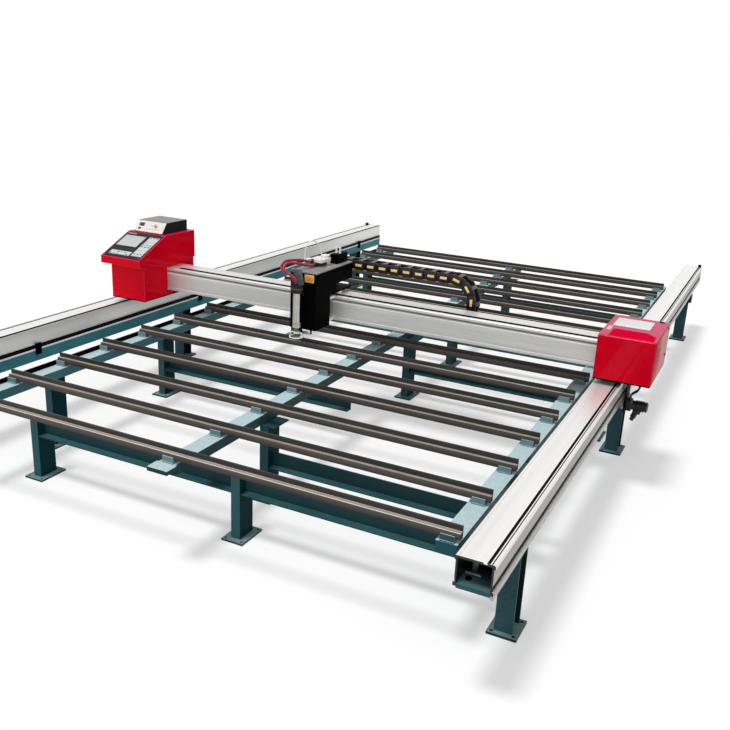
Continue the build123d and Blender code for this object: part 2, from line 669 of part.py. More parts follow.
def roller(x, y):
    half = ROLLER_WIDTH / 2
    tyre = bar_x(y, AXLE_Z, x - half, x + half, ROLLER_RADIUS)
    tyre = chamfer(tyre.edges().filter_by(GeomType.CIRCLE), AXLE_RADIUS / 5)
    return tyre - bar_x(y, AXLE_Z, x - half - CUT, x + half + CUT, AXLE_RADIUS + ROLLER_BORE_PLAY)


def axle(x, y):
    reach = ROLLER_WIDTH / 2 + EAR_GAP + EAR_THICK + AXLE_RADIUS / 2
    return bar_x(y, AXLE_Z, x - reach, x + reach, AXLE_RADIUS)


def console_faces(inset):
    """Side outlines of the control box, shrunk by the inset: console wedge and lower case."""
    slope = math.atan2(CONSOLE_TOP - CONSOLE_LIP_TOP, CONSOLE_CREST_Y - CONSOLE_FRONT)
    rise = inset / math.cos(slope)
    lean = inset * math.tan(slope / 2)
    front = CONSOLE_FRONT + inset
    lip_top = CONSOLE_LIP_TOP - rise + inset * math.tan(slope)
    crest = CONSOLE_CREST_Y + lean
    top = CONSOLE_TOP - inset
    back = CONSOLE_BACK - inset
    wedge = outline([(front, CONSOLE_LIP_BOTTOM + inset), (front, lip_top), (crest, top), (back, top),
                     (back, CASE_SHOULDER), (CASE_FRONT + inset, CASE_SHOULDER)])
    bottom = TRUCK_TOP if inset == 0 else TRUCK_TOP - CUT
    case = outline([(CASE_FRONT + inset, bottom), (back, bottom), (back, CASE_SHOULDER + inset),
                    (CASE_FRONT + inset, CASE_SHOULDER + inset)])
    return wedge, case


def control_box():
    """Sheet-metal case, open below, with a passage for the beam's left end."""
    solids = []
    for inset in (0.0, SHEET):
        wedge, case = console_faces(inset)
        body = along_x(CONSOLE_LEFT + inset, 0, 0, wedge, CONSOLE_WIDTH - 2 * inset)
        body += along_x(CASE_LEFT + inset, 0, 0, case, CASE_RIGHT - CASE_LEFT - 2 * inset)
        solids.append(body)
    shell = solids[0] - solids[1]
    play = BEAM_PASSAGE_PLAY
    front = BEAM_FRONT - play
    back = BEAM_BACK + play
    return shell - block(BEAM_LEFT, CASE_RIGHT + CUT, front, back, BEAM_BOTTOM - play, BEAM_TOP + play)


def panel_plane():
    """Plane of the sloping panel: u to the right, v up the slope, origin at the slope's middle."""
    run = CONSOLE_CREST_Y - CONSOLE_FRONT
    rise = CONSOLE_TOP - CONSOLE_LIP_TOP
    middle = (CONSOLE_LEFT + CONSOLE_WIDTH / 2, CONSOLE_FRONT + run / 2, CONSOLE_LIP_TOP + rise / 2)
    return Plane(middle, x_dir=(1, 0, 0), z_dir=(0, -rise, run))


def on_panel(u, v, size_u, size_v, z0, z1):
    """Box on the panel plane, between two heights above it."""
    return panel_plane() * (Pos(u, v, (z0 + z1) / 2) * Box(size_u, size_v, z1 - z0))


def panel_parts():
    """Bezel, screen and keys of the control panel."""
    run = math.hypot(CONSOLE_CREST_Y - CONSOLE_FRONT, CONSOLE_TOP - CONSOLE_LIP_TOP)
    width = CONSOLE_WIDTH - 2 * BEZEL_MARGIN
    depth = run - 2 * BEZEL_MARGIN
    bezel = on_panel(0, 0, width, depth, 0, BEZEL_THICK)
    screen_u = LCD_INSET + LCD_SIZE[0] / 2 - width / 2
    screen_v = depth / 2 - LCD_DROP - LCD_SIZE[1] / 2
    screen = on_panel(screen_u, screen_v, *LCD_SIZE, BEZEL_THICK, BEZEL_THICK + LCD_THICK)
    step_u = KEY_SIZE[0] + KEY_GAP
    step_v = KEY_SIZE[1] + KEY_GAP
    right = width / 2 - KEYPAD_INSET - KEY_SIZE[0] / 2
    top = depth / 2 - KEYPAD_DROP - KEY_SIZE[1] / 2
    left = KEY_ROW_INSET + KEY_SIZE[0] / 2 - width / 2
    low = KEY_ROW_RISE + KEY_SIZE[1] / 2 - depth / 2
    keypad = [(right - column * step_u, top - row * step_v)
              for column in range(KEYPAD_COLUMNS) for row in range(KEYPAD_ROWS)]
    key_row = [(left + column * step_u, low + row * step_v)
               for column in range(KEY_ROW_COLUMNS) for row in range(KEY_ROW_ROWS)]
    key_top = BEZEL_THICK + KEY_THICK
    keys = [on_panel(u, v, *KEY_SIZE, BEZEL_THICK, key_top) for u, v in keypad + key_row]
    return bezel, screen, keys


def thc_plane():
    """Plane of the height control's slanted front: u right, v up the slant, origin at its middle."""
    run = THC_FRONT_TOP - THC_FRONT_FOOT
    middle = (THC_LEFT + THC_WIDTH / 2, THC_FRONT_FOOT + run / 2, CONSOLE_TOP + THC_HEIGHT / 2)
    return Plane(middle, x_dir=(1, 0, 0), z_dir=(0, -THC_HEIGHT, run))


def thc_parts():
    """Height control: case, white front panel, rocker and knob."""
    face = outline([(THC_FRONT_FOOT, 0), (THC_BACK, 0), (THC_BACK, THC_HEIGHT), (THC_FRONT_TOP, THC_HEIGHT)])
    plane = thc_plane()
    slant = math.hypot(THC_LEAN, THC_HEIGHT)
    top = THC_PANEL_THICK
    well = ROCKER_SIZE[1]
    rocker_at = (ROCKER_INSET - THC_WIDTH / 2, ROCKER_RISE)
    knob_at = (THC_WIDTH / 2 - THC_KNOB_INSET, THC_KNOB_RISE)
    case = along_x(THC_LEFT, 0, CONSOLE_TOP, face, THC_WIDTH)
    opening = Box(ROCKER_SIZE[0] + 2 * ROCKER_SIDE_PLAY, ROCKER_SIZE[1] + ROCKER_SWING, well + top + 2 * CUT)
    rocker_well = plane * (Pos(*rocker_at, (top - well) / 2) * opening)
    knob_bore = plane * (Pos(*knob_at, 0) * Cylinder(THC_SHAFT_RADIUS + SHAFT_PLAY, 2 * well))
    margin = 2 * THC_PANEL_MARGIN
    panel = plane * (Pos(0, 0, top / 2) * Box(THC_WIDTH - margin, slant - margin, top))
    pivot = Pos(*rocker_at, -ROCKER_PIVOT_DEPTH)
    pin_length = ROCKER_SIZE[0] + 2 * ROCKER_PIN_REACH
    trunnion = plane * (pivot * Rot(0, 90, 0) * Cylinder(ROCKER_PIN + SHAFT_PLAY, pin_length + CUT))
    half = ROCKER_SIZE[1] / 2
    foot = half - ROCKER_DRAFT
    crown = ROCKER_PIVOT_DEPTH + top + ROCKER_PROUD
    rock = outline([(-foot, -ROCKER_PIN), (foot, -ROCKER_PIN), (half, crown - ROCKER_TILT),
                    (0, crown - ROCKER_HOLLOW), (-half, crown)])
    turned = Plane((0, 0, 0), x_dir=(0, 1, 0), z_dir=(1, 0, 0))
    rocker_body = extrude(turned * rock, amount=ROCKER_SIZE[0] / 2, both=True)
    rocker = plane * (pivot * (rocker_body + Rot(0, 90, 0) * Cylinder(ROCKER_PIN, pin_length)))
    knob_foot = top + THC_KNOB_GAP
    knob = Pos(*knob_at, knob_foot + THC_KNOB_HEIGHT / 2) * Cylinder(THC_KNOB_RADIUS, THC_KNOB_HEIGHT)
    knob = chamfer(knob.edges().filter_by(GeomType.CIRCLE).sort_by(Axis.Z)[-1], THC_KNOB_EDGE)
    shaft_length = THC_SHAFT_DEPTH + top + 2 * THC_KNOB_GAP
    knob += Pos(*knob_at, shaft_length / 2 - THC_SHAFT_DEPTH) * Cylinder(THC_SHAFT_RADIUS, shaft_length)
    return case - rocker_well - knob_bore - trunnion, panel - rocker_well - knob_bore, rocker, plane * knob


def drive_box():
    """Right-hand cover, open below and on its outer side, with a passage for the beam."""
    back = DRIVE_FRONT + DRIVE_DEPTH
    top = TRUCK_TOP + DRIVE_HEIGHT
    shell = block(DRIVE_LEFT, DRIVE_RIGHT, DRIVE_FRONT, back, TRUCK_TOP, top)
    shell = fillet(shell.edges().filter_by(Axis.X).group_by(Axis.Z)[-1], DRIVE_EDGE)
    inner = DRIVE_LEFT + SHEET
    shell -= block(inner, DRIVE_RIGHT + CUT, DRIVE_FRONT + SHEET, back - SHEET, TRUCK_TOP - CUT, top - SHEET)
    play = BEAM_PASSAGE_PLAY
    return shell - block(DRIVE_LEFT - CUT, inner + CUT, BEAM_FRONT - play, BEAM_BACK + play,
                         TRUCK_TOP - CUT, BEAM_TOP + play)


def side_plate():
    """Outer cover of the drive box, its lower back corner cut off."""
    front = DRIVE_FRONT + SIDE_PLATE_MARGIN
    back = DRIVE_FRONT + DRIVE_DEPTH - SIDE_PLATE_MARGIN
    top = TRUCK_TOP + DRIVE_HEIGHT - SIDE_PLATE_MARGIN
    edge = DRIVE_EDGE
    face = outline([(front, TRUCK_TOP), (back - edge, TRUCK_TOP), (back, TRUCK_TOP + SIDE_PLATE_CUT),
                    (back, top - edge), (back - edge, top), (front + edge, top), (front, top - edge)])
    return along_x(DRIVE_RIGHT, 0, 0, face, SIDE_PLATE_THICK)


def rack_faces(module, length, height, tooth_at, pieces):
    """Rack in equal lengths, drawn with its teeth up: u along it, v from its back.

    A tooth is centred tooth_at along u.
    """
    pitch = math.pi * module
    root = height - 2.25 * module
    lean = math.tan(math.radians(PRESSURE_ANGLE))
    half = pitch / 4 - BACKLASH
    foot = half + 1.25 * module * lean
    crest = half - module * lean
    first = math.ceil((foot - tooth_at) / pitch)
    count = math.floor((length - foot - tooth_at) / pitch) - first + 1
    cuts = [tooth_at + (first + round(count * k / pieces) - 0.5) * pitch for k in range(pieces + 1)]
    faces = []
    for left, right in zip(cuts, cuts[1:]):
        points = [(right, 0), (left, 0), (left, root)]
        for n in range(round((right - left) / pitch)):
            middle = left + (n + 0.5) * pitch
            points += [(middle - foot, root), (middle - crest, height),
                       (middle + crest, height), (middle + foot, root)]
        faces.append(outline(points + [(right, root)]))
    return faces


def pinion_face(module, teeth):
    """Involute pinion drawn with a tooth centred on +v."""
    radius = module * teeth / 2
    base = radius * math.cos(math.radians(PRESSURE_ANGLE))
    tip = radius + module
    root = radius - 1.25 * module
    steps = 4

    def involute(r):
        alpha = math.acos(base / r)
        return math.tan(alpha) - alpha

    half = math.pi / 2 / teeth - BACKLASH / radius
    start = max(base, root)
    flank = [start + (tip - start) * k / steps for k in range(steps + 1)]
    points = []
    for n in range(teeth):
        middle = math.pi / 2 + n * 2 * math.pi / teeth
        rising = [(r, middle - half - involute(radius) + involute(r)) for r in flank]
        falling = [(r, middle + half + involute(radius) - involute(r)) for r in reversed(flank)]
        for r, angle in [(root, rising[0][1])] + rising + falling + [(root, falling[-1][1])]:
            points.append((r * math.cos(angle), r * math.sin(angle)))
    return outline(points)


def rail_rack():
    """Rack under the right rail's outer lip, teeth down, meshing with the resting pinion."""
    start = -RAIL_LENGTH / 2
    tooth_at = MOTOR_Y - start + RAIL_PITCH / 2
    faces = rack_faces(RAIL_MODULE, RAIL_LENGTH, RAIL_RACK_HEIGHT, tooth_at, RAIL_RACK_PIECES)
    plane = Plane((RAIL_OUTER - RAIL_RACK_WIDTH, start, RAIL_BOTTOM), x_dir=(0, 1, 0), z_dir=(-1, 0, 0))
    return [extrude(plane * face, amount=-RAIL_RACK_WIDTH) for face in faces]


def drive_pinion():
    """Pinion under the rail rack, in one piece with its shaft."""
    x0 = RAIL_OUTER - RAIL_RACK_WIDTH / 2 - PINION_FACE / 2
    plane = Plane((x0, MOTOR_Y, RAIL_PINION_Z), x_dir=(0, 1, 0), z_dir=(1, 0, 0))
    gear = extrude(plane * pinion_face(RAIL_MODULE, RAIL_PINION_TEETH), amount=PINION_FACE)
    motor_face = RAIL_OUTER + DRIVE_BRACKET_GAP + DRIVE_BRACKET_THICK
    return gear + bar_x(MOTOR_Y, RAIL_PINION_Z, x0, motor_face + MOTOR_SHAFT, MOTOR_SHAFT)


def drive_bracket():
    x0 = RAIL_OUTER + DRIVE_BRACKET_GAP
    half = DRIVE_BRACKET_Y / 2
    x1 = x0 + DRIVE_BRACKET_THICK
    foot = RAIL_PINION_Z - MOTOR_SIZE / 2 - DRIVE_BRACKET_SKIRT
    plate = block(x0, x1, MOTOR_Y - half, MOTOR_Y + half, foot, TRUCK_BOTTOM)
    return plate - bar_x(MOTOR_Y, RAIL_PINION_Z, x0 - CUT, x1 + CUT, MOTOR_SHAFT + SHAFT_HOLE_PLAY)


def drive_motor():
    """Gear motor bolted to the bracket: gearbox flange, body and rear cap."""
    x0 = RAIL_OUTER + DRIVE_BRACKET_GAP + DRIVE_BRACKET_THICK
    half = MOTOR_SIZE / 2
    flange = block(x0, x0 + half, MOTOR_Y - half, MOTOR_Y + half, RAIL_PINION_Z - half, RAIL_PINION_Z + half)
    x1 = x0 + MOTOR_LENGTH - MOTOR_CAP_LENGTH
    body = bar_x(MOTOR_Y, RAIL_PINION_Z, x0 + half, x1, MOTOR_BODY_RADIUS)
    cap = bar_x(MOTOR_Y, RAIL_PINION_Z, x1, x1 + MOTOR_CAP_LENGTH, MOTOR_CAP_RADIUS)
    bore = bar_x(MOTOR_Y, RAIL_PINION_Z, x0 - CUT, x0 + 2 * MOTOR_SHAFT, MOTOR_SHAFT + SHAFT_PLAY)
    return flange + body + cap - bore


def cable(points, radius):
    """Tube along straight runs joined by arcs as large as the runs allow; also its arc radii."""
    vectors = [Vector(*p) for p in points]
    runs = [b - a for a, b in zip(vectors, vectors[1:])]
    radii = []
    for before, after in zip(runs, runs[1:]):
        half_turn = math.radians(before.get_angle(after)) / 2
        radii.append(0.45 * min(before.length, after.length) / math.tan(half_turn))
    path = FilletPolyline(*points, radius=radii)
    start = Plane(vectors[0], z_dir=runs[0])
    return sweep(start * Circle(radius), path=path), radii


def motor_cables():
    """Two leads from the truck down to the motor's flange, side by side."""
    x0 = RAIL_OUTER + DRIVE_BRACKET_GAP + DRIVE_BRACKET_THICK + MOTOR_SIZE / 4
    z0 = RAIL_PINION_Z + MOTOR_SIZE / 2
    drop = TRUCK_BOTTOM - z0
    solids = []
    for shift in (-1, 1):
        y = MOTOR_Y + shift * MOTOR_CABLE_SPREAD
        points = ((x0 + 30, y, TRUCK_BOTTOM), (x0 + 30, y, z0 + 0.8 * drop),
                  (x0 + 46, y + 4 * shift, z0 + 0.6 * drop), (x0 + 42, y + 8 * shift, z0 + 0.38 * drop),
                  (x0 + 12, y + 4 * shift, z0 + 0.24 * drop), (x0, y, z0 + 0.14 * drop), (x0, y, z0))
        solid, radii = cable(points, MOTOR_CABLE_RADIUS)
        print("motor cable arc radii", [round(r) for r in radii])
        solids.append(solid)
    return solids


def beam():
    face = extrusion_face(BEAM_DEPTH, BEAM_HEIGHT, BEAM_WALL, BEAM_DECK, BEAM_DECK)
    plane = Plane((BEAM_LEFT + BEAM_LENGTH, BEAM_BACK, BEAM_BOTTOM), x_dir=(0, -1, 0), z_dir=(-1, 0, 0))
    return extrude(plane * face, amount=BEAM_LENGTH)


def beam_rack():
    """Rack on the beam's back, under its upper lip, meshing with the resting carriage pinion."""
    start = CASE_RIGHT + BEAM_PITCH
    length = DRIVE_LEFT - BEAM_PITCH - start
    depth = BEAM_RACK_DEPTH + SIDE_RECESS
    tooth_at = CARRIAGE_PINION_X - start + BEAM_PITCH / 2
    faces = rack_faces(BEAM_MODULE, length, depth, tooth_at, BEAM_RACK_PIECES)
    plane = Plane((start, BEAM_BACK - SIDE_RECESS, BEAM_RACK_Z), x_dir=(1, 0, 0), z_dir=(0, 0, 1))
    return [extrude(plane * face, amount=BEAM_RACK_WIDTH) for face in faces]


def carriage_pinion():
    """Pinion behind the beam rack, in one piece with its shaft."""
    z0 = CARRIAGE_PINION_Z
    shaft_top = HOUSING_REAR_BOTTOM + SHEET + CARRIAGE_SHAFT_LENGTH
    plane = Plane((CARRIAGE_PINION_X, BEAM_PINION_Y, z0), x_dir=(-1, 0, 0), z_dir=(0, 0, 1))
    gear = extrude(plane * pinion_face(BEAM_MODULE, BEAM_PINION_TEETH), amount=PINION_FACE)
    return gear + post(CARRIAGE_PINION_X, BEAM_PINION_Y, z0, shaft_top, CARRIAGE_SHAFT)


def carriage_plate():
    """Saddle over the beam: an upright plate in front and a flat plate above."""
    top = HOUSING_MID_BOTTOM
    front = HOUSING_BACK
    upright = block(HOUSING_LEFT, HOUSING_RIGHT, front, front + SADDLE_PLATE, HOUSING_BOTTOM, top)
    flat = block(HOUSING_LEFT, HOUSING_RIGHT, front, HOUSING_REAR, top - SADDLE_PLATE, top)
    shaft_hole = post(CARRIAGE_PINION_X, BEAM_PINION_Y, BEAM_TOP, top + CUT, CARRIAGE_SHAFT + SHAFT_HOLE_PLAY)
    return upright + flat - shaft_hole


def glide_shoes():
    """Plastic shoes that run on the beam's front lip and deck."""
    shoes = []
    z0 = HOUSING_MID_BOTTOM - SADDLE_PLATE
    deck_front = BEAM_FRONT + DECK_SLOT_EDGE + DECK_SLOT_WIDTH + SHOE_LENGTH / 2
    y0 = HOUSING_BACK + SADDLE_PLATE
    y1 = BEAM_FRONT - SHOE_PLAY
    for x in (HOUSING_LEFT, HOUSING_RIGHT - SHOE_LENGTH):
        right = x + SHOE_LENGTH
        shoes.append(block(x, right, y0, y1, BEAM_TOP - LIP_UPPER, BEAM_TOP - SHOE_PLAY))
        shoes.append(block(x, right, y0, y1, BEAM_BOTTOM, BEAM_BOTTOM + LIP_LOWER))
        shoes.append(block(x, right, deck_front, deck_front + SHOE_LENGTH, BEAM_TOP + SHOE_PLAY, z0))
    return shoes


def housing_profile(inset):
    """Side outline of the torch housing, shrunk by the inset but open at the top."""
    top = HOUSING_TOP if inset == 0 else HOUSING_TOP + CUT
    front = HOUSING_FRONT + inset
    lows = [z + inset for z in (HOUSING_BOTTOM, HOUSING_MID_BOTTOM, HOUSING_REAR_BOTTOM)]
    backs = [y - inset for y in (HOUSING_BACK, HOUSING_MID_BACK, HOUSING_REAR)]
    return outline([(front, lows[0]), (backs[0], lows[0]), (backs[0], lows[1]), (backs[1], lows[1]),
                    (backs[1], lows[2]), (backs[2], lows[2]), (backs[2], top), (front, top)])


def torch_housing():
    """Black sheet housing with a slot in front for the torch arm."""
    shell = along_x(HOUSING_LEFT, 0, 0, housing_profile(0), HOUSING_WIDTH)
    shell -= along_x(HOUSING_LEFT + SHEET, 0, 0, housing_profile(SHEET), HOUSING_WIDTH - 2 * SHEET)
    half = ARM_WIDTH / 2 + ARM_SLOT_PLAY
    slot_bottom = ARM_BOTTOM - LIFT_DOWN - ARM_SLOT_PLAY
    slot_top = ARM_BOTTOM + ARM_HEIGHT + LIFT_UP + ARM_SLOT_PLAY
    front = HOUSING_FRONT - CUT
    shell -= block(TORCH_X - half, TORCH_X + half, front, HOUSING_FRONT + SHEET + CUT, slot_bottom, slot_top)
    floor = HOUSING_REAR_BOTTOM
    radius = CARRIAGE_SHAFT + SHAFT_HOLE_PLAY
    return shell - post(CARRIAGE_PINION_X, BEAM_PINION_Y, floor - CUT, floor + SHEET + CUT, radius)


def carriage_motor():
    half = CARRIAGE_MOTOR / 2
    z0 = HOUSING_REAR_BOTTOM + SHEET
    front = BEAM_PINION_Y - half
    back = HOUSING_REAR - SHEET
    top = z0 + CARRIAGE_MOTOR_HEIGHT
    body = block(CARRIAGE_PINION_X - half, CARRIAGE_PINION_X + half, front, back, z0, top)
    bore_top = z0 + CARRIAGE_SHAFT_LENGTH + CARRIAGE_SHAFT
    return body - post(CARRIAGE_PINION_X, BEAM_PINION_Y, z0 - CUT, bore_top, CARRIAGE_SHAFT + SHAFT_PLAY)


def lift_motor():
    half = LIFT_MOTOR / 2
    z0 = HOUSING_BOTTOM + SHEET
    z1 = z0 + LIFT_MOTOR_HEIGHT
    body = block(TORCH_X - half, TORCH_X + half, LIFT_SCREW_Y - half, LIFT_SCREW_Y + half, z0, z1)
    bore = LIFT_SCREW_RADIUS + SHAFT_PLAY
    return body - post(TORCH_X, LIFT_SCREW_Y, z1 - LIFT_SCREW_RADIUS, z1 + CUT, bore)


def lift_screw():
    z0 = HOUSING_BOTTOM + SHEET + LIFT_MOTOR_HEIGHT - LIFT_SCREW_RADIUS + SHAFT_PLAY
    return post(TORCH_X, LIFT_SCREW_Y, z0, HOUSING_TOP - SHAFT_PLAY, LIFT_SCREW_RADIUS)


def lift_rods():
    half = LIFT_ROD_SPACING / 2
    z0 = HOUSING_BOTTOM + SHEET
    return [post(x, LIFT_SCREW_Y, z0, HOUSING_TOP, LIFT_ROD_RADIUS) for x in (TORCH_X - half, TORCH_X + half)]


def torch_holder():
    """Slide block on the lift rods, with an arm through the slot and a cradle behind the barrel."""
    z0 = ARM_BOTTOM
    z1 = ARM_BOTTOM + ARM_HEIGHT
    half = SLIDE_BLOCK_WIDTH / 2
    solid = block(TORCH_X - half, TORCH_X + half, SLIDE_FRONT, SLIDE_FRONT + SLIDE_BLOCK_DEPTH, z0, z1)
    solid += block(TORCH_X - ARM_WIDTH / 2, TORCH_X + ARM_WIDTH / 2, TORCH_Y, SLIDE_FRONT, z0, z1)
    low = TORCH_BARREL_TOP - CRADLE_LENGTH
    ring = TORCH_RADIUS + CRADLE_WALL
    cradle = post(TORCH_X, TORCH_Y, low, TORCH_BARREL_TOP, ring)
    front = TORCH_Y - ring - CUT
    lip = TORCH_Y - CRADLE_LAP
    cradle -= block(TORCH_X - ring - CUT, TORCH_X + ring + CUT, front, lip, low - CUT, TORCH_BARREL_TOP + CUT)
    solid += cradle
    solid -= post(TORCH_X, TORCH_Y, low - CUT, TORCH_BARREL_TOP + CUT, TORCH_RADIUS)
    solid -= post(TORCH_X, LIFT_SCREW_Y, z0 - CUT, z1 + CUT, LIFT_SCREW_RADIUS + SHAFT_PLAY)
    for side in (-1, 1):
        x = TORCH_X + side * LIFT_ROD_SPACING / 2
        solid -= post(x, LIFT_SCREW_Y, z0 - CUT, z1 + CUT, LIFT_ROD_RADIUS + SHAFT_PLAY)
    return solid


def head_plate():
    """Grey plate that stands on the collar and leans to the left."""
    foot_left, foot_right = HEAD_PLATE_FOOT
    crest_left, crest_right = HEAD_PLATE_CREST
    rise = HEAD_PLATE_HEIGHT
    face = outline([(foot_left, 0), (foot_right, 0), (crest_right, rise),
                    (crest_left, rise - HEAD_PLATE_CREST_FALL)])
    return along_y(TORCH_X, TORCH_Y + HEAD_PLATE_BACK, COLLAR_TOP, face, HEAD_PLATE_THICK)


def torch_tip():
    """Slim end of the torch below its barrel."""
    tip = Cone(TORCH_TIP_END_RADIUS, TORCH_TIP_RADIUS, TORCH_TIP_LENGTH)
    return Pos(TORCH_X, TORCH_Y, TORCH_TIP_BOTTOM + TORCH_TIP_LENGTH / 2) * tip


def nozzle():
    """Shield cup with the electrode probe below it."""
    cup = Cone(NOZZLE_END_RADIUS, NOZZLE_RADIUS, NOZZLE_LENGTH)
    cup = Pos(TORCH_X, TORCH_Y, NOZZLE_BOTTOM + NOZZLE_LENGTH / 2) * cup
    return cup + post(TORCH_X, TORCH_Y, NOZZLE_BOTTOM - PROBE_LENGTH, NOZZLE_BOTTOM, PROBE_RADIUS)


def chain_link(x, z, turn, length):
    """Open-ended chain link centred on the chain's axis, turned about Y."""
    outer = Box(length, CHAIN_WIDTH, CHAIN_HEIGHT)
    core = Box(length + 2 * CUT, CHAIN_WIDTH - 2 * CHAIN_WALL, CHAIN_HEIGHT - 2 * CHAIN_WALL)
    return Pos(x, CHAIN_CENTRE_Y, z) * Rot(0, turn, 0) * (outer - core)


def chain_runs():
    """Upper run from the carriage, bend, and lower run back to the fixed end."""
    straight = CHAIN_PITCH - CHAIN_LINK_GAP
    upper = [chain_link(CHAIN_START + (n + 0.5) * CHAIN_PITCH, CHAIN_AXIS_TOP, 0, straight)
             for n in range(CHAIN_UPPER_LINKS)]
    step = 180.0 / CHAIN_BEND_LINKS
    inner = CHAIN_RADIUS - CHAIN_HEIGHT / 2
    length = 2 * inner * math.tan(math.radians(step / 2)) - CHAIN_LINK_GAP
    rim = Rot(90, 0, 0) * Cylinder(CHAIN_RADIUS + CHAIN_HEIGHT / 2, 2 * CHAIN_WIDTH)
    rim = Pos(CHAIN_BEND_X, CHAIN_CENTRE_Y, CHAIN_BEND_Z) * rim
    bend = []
    for n in range(CHAIN_BEND_LINKS):
        angle = 90.0 - (n + 0.5) * step
        x = CHAIN_BEND_X + CHAIN_RADIUS * math.cos(math.radians(angle))
        z = CHAIN_BEND_Z + CHAIN_RADIUS * math.sin(math.radians(angle))
        bend.append(chain_link(x, z, 90.0 - angle, length) & rim)
    lower = [chain_link(CHAIN_BEND_X - (n + 0.5) * CHAIN_PITCH, CHAIN_AXIS_LOW, 0, straight)
             for n in range(CHAIN_LOWER_LINKS)]
    return upper, bend, lower


def chain_bracket():
    """Block on the housing's rear face that holds the chain's moving end."""
    left = CHAIN_START - CHAIN_END_BLOCK
    bottom = CHAIN_AXIS_TOP - CHAIN_HEIGHT / 2
    return block(left, CHAIN_START, HOUSING_REAR, CHAIN_FRONT + CHAIN_WIDTH, bottom, HOUSING_TOP)


def hose_clamp():
    """Clamp on the lid that leads the hoses from the manifold to the chain."""
    left = HOUSING_LEFT + CLAMP_INSET
    back = HOUSING_REAR - CLAMP_BACK_INSET
    return block(left, left + CLAMP_WIDTH, back - CLAMP_DEPTH, back, LID_TOP, LID_TOP + CLAMP_HEIGHT)


def manifold():
    """Block on the lid that the hoses run into: a foot, a pale plate on it and an ear for the arched lead."""
    left = HOUSING_LEFT + MANIFOLD_INSET
    front = HOUSING_BACK + MANIFOLD_SETBACK
    top = LID_TOP + MANIFOLD_HEIGHT
    seat = top - MANIFOLD_PLATE
    x0 = left + MANIFOLD_FOOT_INSET
    foot = block(x0, x0 + MANIFOLD_FOOT_WIDTH, front, front + MANIFOLD_FOOT_DEPTH, LID_TOP, seat)
    plate = block(left, left + MANIFOLD_WIDTH, front, front + MANIFOLD_DEPTH, seat, top)
    x1 = left - MANIFOLD_EAR_OVER
    y0 = front - MANIFOLD_EAR_REACH
    low = top - MANIFOLD_EAR_THICK
    ear = block(x1, x1 + MANIFOLD_EAR_WIDTH, y0, front + MANIFOLD_EAR_LAP, low, top)
    return foot + plate + ear


def chain_tray():
    """Angle tray on the beam's back that carries the lower run and the chain's fixed end."""
    z1 = CHAIN_AXIS_LOW - CHAIN_HEIGHT / 2 - TRAY_PLAY
    x0 = CHAIN_BEND_X - CHAIN_LOWER_LINKS * CHAIN_PITCH - CHAIN_END_BLOCK
    back = CHAIN_FRONT + CHAIN_WIDTH + TRAY_STEEL
    lip = BEAM_BACK + TRAY_STEEL
    face = outline([(BEAM_BACK, z1 - TRAY_STEEL), (back, z1 - TRAY_STEEL), (back, z1), (lip, z1),
                    (lip, z1 + TRAY_LIP), (BEAM_BACK, z1 + TRAY_LIP)])
    tray = along_x(x0, 0, 0, face, TRAY_LENGTH)
    x1 = x0 + CHAIN_END_BLOCK
    return tray + block(x0, x1, CHAIN_FRONT, CHAIN_FRONT + CHAIN_WIDTH, z1, z1 + CHAIN_HEIGHT)


def hoses():
    """Two torch hoses, from the collar to the manifold's front."""
    solids = []
    for route in HOSE_ROUTES:
        solid, radii = cable(route, HOSE_RADIUS)
        print("hose arc radii", [round(r) for r in radii])
        solids.append(solid)
    return solids


def limit_switch():
    """Switch box and its bracket on the far right leg's outer side."""
    x0 = RAIL_MID + LEG_FLANGE / 2
    y0 = SWITCH_Y - SWITCH_SIZE[1] / 2
    flange = LEG_Y[2] - LEG_DEPTH / 2
    z0 = SWITCH_TOP - SWITCH_SIZE[2]
    x1 = x0 + SWITCH_BRACKET_THICK
    bracket = block(x0, x1, y0, flange + LEG_STEEL, z0, SWITCH_TOP)
    return bracket + block(x1, x1 + SWITCH_SIZE[0], y0, y0 + SWITCH_SIZE[1], z0, SWITCH_TOP)


def rail_stops():
    """Blocks on the outer edge of the rail decks: one at each end on the left, one at the back on the right."""
    left = -RAIL_OUTER + LIP_RADIUS
    right = RAIL_OUTER - LIP_RADIUS - STOP_SIZE[0]
    half = STOP_SIZE[1] / 2
    stops = []
    for x, y in ((left, STOP_Y[0]), (left, STOP_Y[1]), (right, STOP_Y[1])):
        stops.append(block(x, x + STOP_SIZE[0], y - half, y + half, RAIL_TOP, RAIL_TOP + STOP_SIZE[2]))
    return stops


def write_frame():
    """Everything that stands still on the floor."""
    legs = [(x, y) for x in (-RAIL_MID, RAIL_MID) for y in LEG_Y]
    write("left_rail", rail(-RAIL_OUTER))
    write("right_rail", rail(RAIL_INNER))
    write("rail_base_plates", base_plate(-RAIL_OUTER), base_plate(RAIL_INNER))
    write("rail_legs", *[h_leg(x, y) for x, y in legs])
    foot = (FOOT_X, FOOT_Y, FOOT_THICK, FOOT_HOLE_X, FOOT_HOLE_Y, FOOT_HOLE_RADIUS)
    write("rail_foot_plates", *[drilled_plate(x, y, *foot) for x, y in legs])
    half = RAIL_LENGTH / 2
    gap = CHANNEL_JOINT_GAP / 2
    lengths = [(-half, CHANNEL_JOINT_Y - gap), (CHANNEL_JOINT_Y + gap, half)]
    write("side_channels", *[channel_length(*ends) for ends in lengths])
    write("channel_brackets", *[channel_bracket(y) for y in BRACKET_Y])
    write("rail_rack", *rail_rack())
    write("rail_stops", *rail_stops())
    write("limit_switch", limit_switch())


